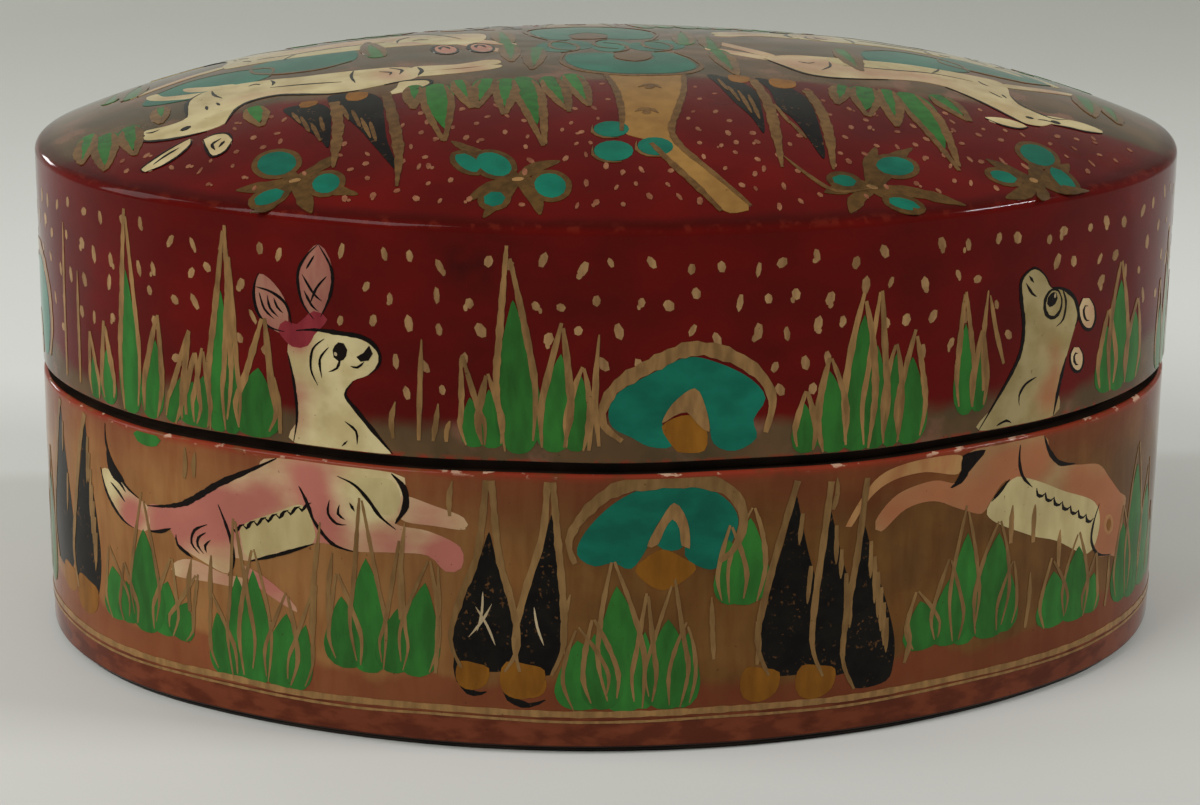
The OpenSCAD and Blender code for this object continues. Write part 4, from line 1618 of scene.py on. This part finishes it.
def paint_dome(face):
    """Trees, grass, deer and flowers of one half of the dome."""
    dome_deer_left(face)
    dome_deer_right(face)
    patch(face, "trunk", [
        (-2.1, -17.2), (2.4, -17.0), (6.9, -17.2), (6.0, -23.6), (4.5, -30.0), (3.2, -35.0), (4.0, -39.0),
        (6.8, -43.8), (10.3, -48.6), (9.4, -49.8), (7.3, -49.6), (4.4, -45.0), (2.4, -41.4), (0.8, -37.6),
        (-1.9, -35.4), (-1.3, -29.8), (-1.3, -23.4),
    ])
    for edge in (
        [(-2.2, -17.0), (-1.6, -23.4), (-1.6, -29.8), (-2.1, -35.2)],
        [(7.0, -17.0), (6.2, -23.6), (4.7, -30.0), (3.5, -35.0), (4.2, -38.8), (7.0, -43.6), (10.5, -48.8)],
        [(0.9, -38.0), (2.5, -41.6), (4.5, -45.2), (7.2, -49.8)],
    ):
        stroke(face, "khaki", edge, 0.8, (0.7, 0.5))
    for u, v in ((2.4, -22.4), (1.2, -30.4)):
        stroke(face, "khaki", [
            (u - 1.3, v + 0.2), (u - 0.4, v + 0.9), (u + 0.8, v + 0.7), (u + 1.3, v - 0.3),
        ], 0.9)
        dab(face, "khaki", (u, v), 1.2, 1.0)
    for u, v, size in ((-3.2, -34.6, 4.0), (-3.4, -39.4, 4.4), (1.3, -38.6, 4.0)):
        patch(face, "turquoise", oval_of((u, v), size, size * 0.95, 0.3))
        stroke(face, "khaki", oval_of((u, v), size + 0.5, size + 0.4, 0.3)[3:7], 0.35)
    patch(face, "turquoise", [
        (-5.3, -5.4), (-6.2, -10.0), (-4.6, -13.9), (-0.7, -16.2), (3.0, -16.6), (6.6, -15.8), (8.9, -13.4),
        (8.6, -9.2), (7.0, -5.2), (4.6, -5.0), (4.4, -8.6), (2.1, -10.6), (-0.4, -8.8), (-0.4, -5.2),
    ])
    patch(face, "khaki", [(0.2, -5.4), (0.0, -8.4), (2.1, -10.2), (4.0, -8.4), (4.0, -5.4)], figure=False)
    stroke(face, "khaki", [
        (-5.8, -4.6), (-6.9, -10.0), (-5.2, -14.4), (-1.0, -16.9), (3.0, -17.3), (7.2, -16.4), (9.6, -13.4),
        (9.2, -9.0), (7.4, -4.6),
    ], 0.7)
    for middle, wide, tall in (((-4.6, 0.6), 5.0, 6.6), ((0.4, 1.2), 4.0, 6.0), ((6.8, 0.6), 4.8, 6.8)):
        patch(face, "turquoise", oval_of(middle, wide, tall, 0.1))
        stroke(face, "khaki", oval_of(middle, wide + 0.8, tall + 0.8, 0.1)[2:7], 0.45)
    for outline in (
        [
            (-43.8, 3.6), (-43.6, -1.0), (-40.4, -4.2), (-35.6, -4.8), (-31.8, -2.0), (-30.9, 2.6),
            (-32.0, 5.6), (-37.6, 6.4),
        ],
        [
            (41.6, 4.6), (41.4, 0.0), (45.4, -2.4), (51.0, -2.6), (55.2, 0.6), (56.6, 5.2), (52.0, 8.0),
            (46.0, 7.8),
        ],
    ):
        patch(face, "turquoise", outline)
        stroke(face, "khaki", outline[:5], 0.6)
    for foot, tip, wide, point in (
        ((-22.2, -18.6), (-21.6, -32.0), 3.6, 1.22), ((-19.4, -17.4), (-18.8, -24.6), 2.0, 1.4),
        ((-24.6, -18.0), (-24.8, -24.0), 2.0, 1.3), ((-16.0, -17.6), (-17.4, -25.0), 2.4, 1.3),
        ((-13.9, -18.0), (-14.6, -27.4), 2.6, 1.25), ((-12.0, -17.8), (-11.3, -32.8), 3.2, 1.36),
        ((-9.0, -17.8), (-8.0, -27.6), 2.6, 1.2), ((-6.4, -16.8), (-5.4, -26.4), 2.4, 1.2),
        ((28.2, -18.8), (26.9, -26.6), 3.4, 1.25), ((30.8, -19.0), (30.3, -28.2), 2.4, 1.2),
        ((33.0, -19.6), (34.8, -34.0), 3.8, 1.28), ((36.8, -18.6), (38.8, -24.4), 2.8, 1.2),
        ((25.6, -18.6), (24.2, -24.0), 2.2, 1.25), ((-60.6, -13.6), (-59.8, -23.4), 2.8, 1.15),
        ((-62.6, -11.4), (-62.8, -19.6), 2.2, 1.1), ((-57.8, -13.4), (-56.9, -22.0), 2.4, 1.15),
        ((-43.2, -17.6), (-42.4, -23.2), 2.6, 1.2), ((12.6, -3.0), (13.0, -14.6), 2.4, 1.15),
        ((58.6, -2.0), (57.6, -11.4), 3.0, 1.15), ((61.2, -4.0), (61.0, -11.4), 2.2, 1.15),
        ((-9.2, -1.0), (-10.4, -12.4), 2.4, 1.1), ((-54.4, -9.0), (-54.2, -14.4), 1.8, 1.2),
        ((28.6, 1.0), (29.2, -9.0), 2.6, 1.2), ((-12.4, 2.0), (-12.6, -8.0), 2.2, 1.1),
    ):
        leaf(face, foot, tip, wide * 0.95, point)
    combed_cypress(
        face,
        [
            (-39.6, -20.2), (-38.6, -23.5), (-37.0, -27.2), (-35.4, -30.4), (-34.5, -32.6), (-34.2, -27.0),
            (-34.4, -22.4), (-36.2, -20.0),
        ],
        [(-33.8, -20.6), (-33.4, -28.0), (-34.0, -37.0)],
        [
            ((-38.6, -22.0), (-37.6, -25.6)), ((-37.6, -23.6), (-36.6, -28.2)),
            ((-36.4, -26.0), (-35.4, -30.8)), ((-35.4, -24.6), (-35.0, -28.6)),
        ],
    )
    combed_cypress(
        face,
        [
            (-34.4, -18.2), (-34.0, -22.0), (-32.4, -26.0), (-30.8, -30.0), (-29.4, -34.0), (-27.0, -39.8),
            (-28.0, -33.0), (-28.2, -27.0), (-28.6, -21.0), (-30.8, -18.4),
        ],
        [(-27.9, -19.6), (-27.2, -28.0), (-26.8, -36.0), (-27.2, -42.4)],
        [
            ((-33.0, -22.0), (-32.2, -26.6)), ((-31.8, -24.0), (-30.9, -29.0)),
            ((-30.8, -26.6), (-29.8, -32.0)), ((-29.8, -28.0), (-29.2, -33.0)),
        ],
    )
    combed_cypress(
        face,
        [
            (9.8, -16.6), (10.6, -21.5), (11.6, -26.6), (13.0, -31.0), (13.9, -35.0), (14.6, -28.0),
            (14.6, -22.5), (12.8, -18.6),
        ],
        [(15.0, -18.4), (15.5, -26.0), (15.3, -34.0), (14.9, -42.0)],
        [
            ((10.8, -18.6), (11.4, -23.0)), ((11.6, -21.4), (12.3, -26.6)), ((12.6, -23.0), (13.2, -30.0)),
            ((13.6, -24.4), (13.9, -31.6)),
        ],
    )
    combed_cypress(
        face,
        [
            (15.4, -17.6), (16.4, -22.0), (16.6, -27.6), (18.0, -31.6), (19.9, -39.6), (20.6, -32.0),
            (20.6, -25.0), (19.4, -21.4), (17.6, -18.6),
        ],
        [(20.9, -21.6), (21.5, -28.0), (21.3, -35.0), (20.7, -41.6)],
        [((17.2, -31.4), (18.6, -35.6)), ((16.2, -27.0), (17.2, -32.2))],
    )
    roots(
        face,
        (-31.2, -19.6, 2.6, 3.2), (-36.8, -20.0, 2.2, 2.2), (13.4, -18.2, 2.6, 3.4), (18.4, -19.4, 3.2, 3.8),
    )
    flower(
        face, (-38.2, -38.0),
        [((-40.2, -33.8), 4.0, 5.4, 0.5), ((-41.0, -39.8), 3.4, 2.4, 0.2), ((-34.8, -39.6), 3.0, 3.6, 0.3)],
        [(-33.2, -34.4), (-31.4, -42.6), (-36.4, -44.0), (-44.6, -37.2), (-43.0, -42.4)],
    )
    flower(
        face, (-14.2, -43.8),
        [
            ((-19.4, -39.8), 2.0, 4.4, 0.5), ((-16.6, -40.6), 3.2, 5.2, 0.5),
            ((-10.8, -45.2), 3.4, 4.2, 0.2), ((-16.9, -46.6), 2.4, 2.4, 0),
        ],
        [(-21.0, -35.0), (-18.2, -49.2), (-12.2, -49.6), (-9.4, -41.0), (-19.8, -46.4)],
    )
    flower(
        face, (24.6, -44.0),
        [((28.0, -39.4), 4.8, 3.4, 0.5), ((21.6, -43.4), 2.8, 2.0, 0.1), ((27.8, -46.0), 3.6, 1.8, -0.1)],
        [(21.4, -48.6), (26.4, -36.0), (30.8, -35.0), (35.0, -44.4), (19.0, -45.8)],
    )
    stroke(face, "khaki", [(15.4, -39.8), (17.4, -42.8), (20.4, -45.4), (24.6, -44.2)], 0.5)
    flower(
        face, (44.4, -37.0),
        [((46.2, -31.0), 4.0, 5.0, -0.4), ((40.8, -37.6), 3.2, 2.2, 0.1), ((48.2, -35.2), 2.4, 4.4, 0.3)],
        [(49.8, -31.4), (39.4, -34.6), (51.0, -36.2), (40.2, -41.6), (44.6, -40.8)],
    )


for side in sides:
    paint_dome(f"dome {side}")
head = "dome front"
patch(head, "deer", [
    (-22.4, 5.0), (-19.2, 3.6), (-16.2, 4.4), (-14.8, 7.6), (-15.4, 12.0), (-20.0, 12.8), (-25.0, 10.6),
    (-26.4, 8.2), (-23.6, 7.4),
], blushed((-17, 10, 3, 0.4)))
for ear_u in (-20.3, -15.9):
    ear = oval_of((ear_u, 0.4), 3.0, 6.2, 0.1)
    patch(head, "deer", ear, blushed((ear_u, 0.4, 4, 0.8)))
    inked(head, ear + ear[:2], oval_of((ear_u, 0.6), 1.2, 3.6, 0.1)[:5], thick=0.5)
print("coats so far:", len(coats))

# %% [markdown]
# ## The gold flecks
# The red sky is strewn with touches of gold, in loose rows. A fleck is left out where a figure stands, which
# the outlines that were kept above can tell.

# %% Strew the flecks
missed, doubled = 0.06, 0.25


def free(face, u, v, room):
    """True if no figure of the map covers the spot or comes within room of it."""
    for outline in figures.get(face, []):
        us, vs = [p[0] for p in outline], [p[1] for p in outline]
        if min(us) - room < u < max(us) + room and min(vs) - room < v < max(vs) + room:
            if inside((u, v), outline) or min(math.dist((u, v), p) for p in outline) < room:
                return False
    return True


def strew(face, paint, allowed, low, high, right, gap, size):
    """Staggered rows of flecks from low to high, between right and its mirror on the left."""
    count = 0
    for row in range(int((high - low) / gap) + 1):
        for column in range(int(2 * right / gap) + 1):
            u = -right + gap * (column + 0.5 * (row % 2)) + dice.uniform(-0.9, 0.9)
            v = low + gap * row + dice.uniform(-0.8, 0.8)
            if u > right or not allowed(u, v) or not free(face, u, v, 0.8) or dice.random() < missed:
                continue
            wide, tall = size * dice.uniform(0.75, 1.4), size * dice.uniform(1.2, 2.3)
            dab(face, paint, (u, v), wide, tall, dice.uniform(-0.5, 0.5), corners=7)
            if dice.random() < doubled:
                beside = (u + dice.uniform(-0.5, 0.5), v - tall * 0.4)
                dab(face, paint, beside, 0.6 * wide, 0.8 * wide, corners=7)
            count += 1
    return count


def in_sky(u, v):
    """The red of the lid's wall, clear of the brown band and of the shoulder."""
    return sky_low + 1.5 < v < dome_z - 0.4


def in_dome_sky(x, y):
    """The dome's red half moon at the front of its map."""
    return y < -20 and math.hypot(x, y) < 0.955 * reach(x, y)


for side in sides:
    wall = strew(f"lid {side}", "fleck", in_sky, low=41.2, high=59.2, right=96.5, gap=3.7, size=0.86)
    top = strew(f"dome {side}", "dust", in_dome_sky, low=-51, high=-21, right=66, gap=2.7, size=0.55)
    print(side, "flecks on the wall", wall, "and on the dome", top)

# %% [markdown]
# ## From coats to pieces
# Each coat becomes one mesh. Solidify gives it the thickness of dried paint, downwards into the ground that
# carries it, and the modifier is applied. The coat keeps two numbers for each point, tone and blush, which
# its material reads.

# %% Make a piece of each coat
paint_thick = 0.1


def paint_piece(part, colour, coat):
    """The mesh of one coat, made solid and given its paint."""
    name = f"{part}_paint_{colour}"
    mesh = bpy.data.meshes.new(name)
    mesh.from_pydata([Vector(p) * MM for p in coat["points"]], [], coat["polygons"])
    for label in ("tone", "blush"):
        mesh.attributes.new(label, "FLOAT", "POINT").data.foreach_set("value", coat[label])
    piece = bpy.data.objects.new(name, mesh)
    bpy.context.collection.objects.link(piece)
    bpy.ops.object.select_all(action="DESELECT")
    piece.select_set(True)
    bpy.context.view_layer.objects.active = piece
    bpy.ops.object.mode_set(mode="EDIT")
    bpy.ops.mesh.delete_loose()
    bpy.ops.object.mode_set(mode="OBJECT")
    solid = piece.modifiers.new("thickness", "SOLIDIFY")
    solid.thickness = paint_thick * MM
    solid.offset = -1
    bpy.ops.object.modifier_apply(modifier=solid.name)
    bpy.ops.object.shade_smooth_by_angle(angle=math.radians(40))
    piece.data.materials.append(paints[colour])
    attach(piece, body_of_part[part])
    return piece


triangles = 0
for (part, colour), coat in sorted(coats.items()):
    piece = paint_piece(part, colour, coat)
    triangles += sum(len(face.vertices) - 2 for face in piece.data.polygons)
    print(piece.name, len(piece.data.polygons), "faces")
print("triangles of paint", triangles)

# %% [markdown]
# ## The bare insides
# The inside of the lid, the land round the rim and the collar are painted black without a picture, and the
# black is thin at the collar's worn edge. The pasteboard floor is black too, and scuffed from underneath. The
# collar and the floor keep the shape that the frame gives them.

# %% Mix the black of the inside


def inside_colour(tree):
    """A thin black over brown pulp, worn through in places."""
    z = axis(tree, "Z")
    black = mix(tree, blotches(tree, 6, 5, 0.35, 0.7), (30, 24, 20), (46, 34, 26))
    collar_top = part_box("inner_collar")[1].z / MM
    worn = times(tree, near(tree, z, collar_top, 0.9), blotches(tree, 1.6, 4, 0.42, 0.55))
    return mix(tree, worn, black, (128, 96, 66))


def floor_colour(tree):
    """Black, scuffed to the grey board where the box has been pushed about."""
    black = mix(tree, blotches(tree, 7, 5, 0.35, 0.7), (24, 20, 18), (40, 32, 26))
    scuff = blotches(tree, 3.5, 6, 0.64, 0.7, stretch=(4, 1, 1))
    low = step_up(tree, axis(tree, "Z"), 0.5, 0.2)
    return mix(tree, times(tree, scuff, low), black, (116, 96, 76))


inside_black = lacquered("inside_black", inside_colour, rough=0.6, coat=0.35, coat_rough=0.3)
floor_black = lacquered("floor_black", floor_colour, rough=0.6, coat=0.4, coat_rough=0.3)


def dress(node, material):
    """Gives a CAD node that stays as it is a better material."""
    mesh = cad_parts[node].data
    mesh.materials.clear()
    mesh.materials.append(material)


def bare_inside(piece, ground, is_bare):
    """The ground on the painted faces, and thin black on the faces that pass the test."""
    piece.data.materials.clear()
    piece.data.materials.append(ground)
    piece.data.materials.append(inside_black)
    for face in piece.data.polygons:
        face.material_index = 1 if is_bare(face) else 0
    print(piece.name, "bare faces", sum(face.material_index for face in piece.data.polygons))


def depth_of(face):
    """How far a face lies in from the oval, in millimetres, measured along the line from the middle."""
    x, y = face.center.x / MM, face.center.y / MM
    return reach(x, y) - math.hypot(x, y)


dress("inner_collar", inside_black)
dress("floor_board", floor_black)
bare_inside(base_shell, base_ground, lambda face: depth_of(face) > 1.0)
bare_inside(lid_shell, lid_ground, lambda face: depth_of(face) > 0.9)
bare_inside(lid_top, lid_ground, lambda face: face.normal.z < -0.05)
for piece, node, body, slot in (
    (base_shell, "base_wall", "base", "brown_lacquer"),
    (lid_shell, "lid_wall", "lid", "red_lacquer"),
    (lid_top, "lid_dome", "lid", "red_lacquer"),
):
    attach(piece, body)
    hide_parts(node)

# %% [markdown]
# ## The table, the light and the camera
# The box stands on a pale sweep that curves up far behind it. The sweep's tone changes a little with the
# distance, and in front of the box it is darker, which is painted shade.

# %% Make the sweep
sweep_w, sweep_front, sweep_back, sweep_rise, sweep_curve = 3000, 900, 900, 700, 300
shaded_near_tone, table_tone = (189, 190, 187), (213, 213, 208)
far_tone, top_tone = (226, 228, 223), (201, 203, 196)


def pale_paper(name):
    """The table's tone, darker in front of the box as painted shade, paler just behind it, duller further
    back.
    """
    material = bpy.data.materials.new(name)
    material.use_nodes = True
    tree = material.node_tree
    shader = tree.nodes["Principled BSDF"]
    y = axis(tree, "Y")
    # Darker paper in front of the box: painted shade.
    tone = mix(tree, step_up(tree, y, -110, -50), shaded_near_tone, table_tone)
    tone = mix(tree, step_up(tree, y, 48, 56), tone, far_tone)
    tone = mix(tree, step_up(tree, y, 90, 480), tone, top_tone)
    soft = mix(tree, cloud(tree, 120, 2), (255, 255, 255), (246, 246, 246))
    tree.links.new(mix(tree, 1.0, tone, soft, "MULTIPLY"), shader.inputs["Base Color"])
    shader.inputs["Roughness"].default_value = 0.6
    shader.inputs["Specular IOR Level"].default_value = 0.25
    return material


bpy.ops.object.select_all(action="DESELECT")
bpy.ops.mesh.primitive_plane_add(size=1, location=(0, 0, 0))
bpy.ops.object.mode_set(mode="EDIT")
bpy.ops.transform.resize(value=(sweep_w * MM, (sweep_front + sweep_back) * MM, 1), center_override=(0, 0, 0))
bpy.ops.transform.translate(value=(0, (sweep_back - sweep_front) / 2 * MM, 0))
pick(lambda co: co.y > 0, mode="EDGE")
pull((0, 0, sweep_rise * MM))
pick(lambda co: co.y > 0 and co.z < 1, mode="EDGE")
bpy.ops.mesh.bevel(offset=sweep_curve * MM, segments=24)
bpy.ops.object.mode_set(mode="OBJECT")
bpy.ops.object.shade_smooth()
sweep = bpy.context.object
sweep.name = "paper_sweep"
sweep.data.materials.append(pale_paper("pale_paper"))
sweep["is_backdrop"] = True
print("sweep", [round(side, 2) for side in sweep.dimensions])

# %% [markdown]
# A soft key lamp hangs high in front on the left, and a weaker window light on the left helps it. A narrow
# strip on the right and a small lamp at the far left put the white lines on the shoulder and the rim. The
# light of a pale room fills the shadows.

# %% Hang the lamps
lit_spot = (0, 0, 40)
room_tone, room_strength = (234, 233, 228), 0.42


def lamp(name, place_mm, size_mm, watts):
    """A soft lamp that looks at the box."""
    bpy.ops.object.light_add(type="AREA", location=[value * MM for value in place_mm])
    light = bpy.context.object
    light.name = name
    light.data.shape = "RECTANGLE"
    light.data.size, light.data.size_y = size_mm[0] * MM, size_mm[1] * MM
    light.data.energy = watts
    towards = Vector(lit_spot) - Vector(place_mm)
    light.rotation_euler = towards.to_track_quat("-Z", "Y").to_euler()
    print(name, "at", place_mm, "mm,", watts, "W")


lamp("key", (-780, -600, 760), (700, 500), 7.5)
lamp("left_window", (-820, 60, 420), (300, 500), 1.9)
lamp("right_strip", (640, -190, 440), (200, 24), 2.4)
lamp("far_left_spark", (-560, 720, 210), (160, 100), 0.5)
world = bpy.data.worlds.new("room")
world.use_nodes = True
room = world.node_tree.nodes["Background"].inputs
room["Color"].default_value = rgb(*room_tone)
room["Strength"].default_value = room_strength
bpy.context.scene.world = world

# %% [markdown]
# The camera stands where the photograph was taken: a little to the left, and looking down on the dome. Its
# place and its lens were found together with the proportions of the box.

# %% Stand the camera where the photograph was taken
camera_at = (-33.98, -346.08, 129.81)
turn_left, look_down, tilt = math.radians(-5.471), math.radians(16.728), math.radians(0.590)
lens_mm, sensor_mm = 86.12, 36.0
facing = (
    Matrix.Rotation(turn_left, 3, "Z")
    @ Matrix.Rotation(math.pi / 2 - look_down, 3, "X")
    @ Matrix.Rotation(tilt, 3, "Z")
)
bpy.ops.object.camera_add(location=[value * MM for value in camera_at], rotation=facing.to_euler())
camera = bpy.context.object
camera.data.sensor_width = sensor_mm
camera.data.lens = lens_mm
camera.data.clip_start = 0.01
bpy.context.scene.camera = camera
bpy.context.scene.view_settings.view_transform = "Standard"
print("camera at", camera_at, "lens", lens_mm)

# %% [markdown]
# ## Measure
# The painted box and the box of the frame are measured, and their sizes are printed. The painted box has to
# stay inside the box of the frame.

# %% Measure the painted box
painted_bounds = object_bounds()
sizes = {"cad": [list(corner) for corner in cad_bounds], "visual": [list(corner) for corner in painted_bounds]}
for label, (low, high) in sizes.items():
    print(label, "box in mm", [round((b - a) / MM, 2) for a, b in zip(low, high)])
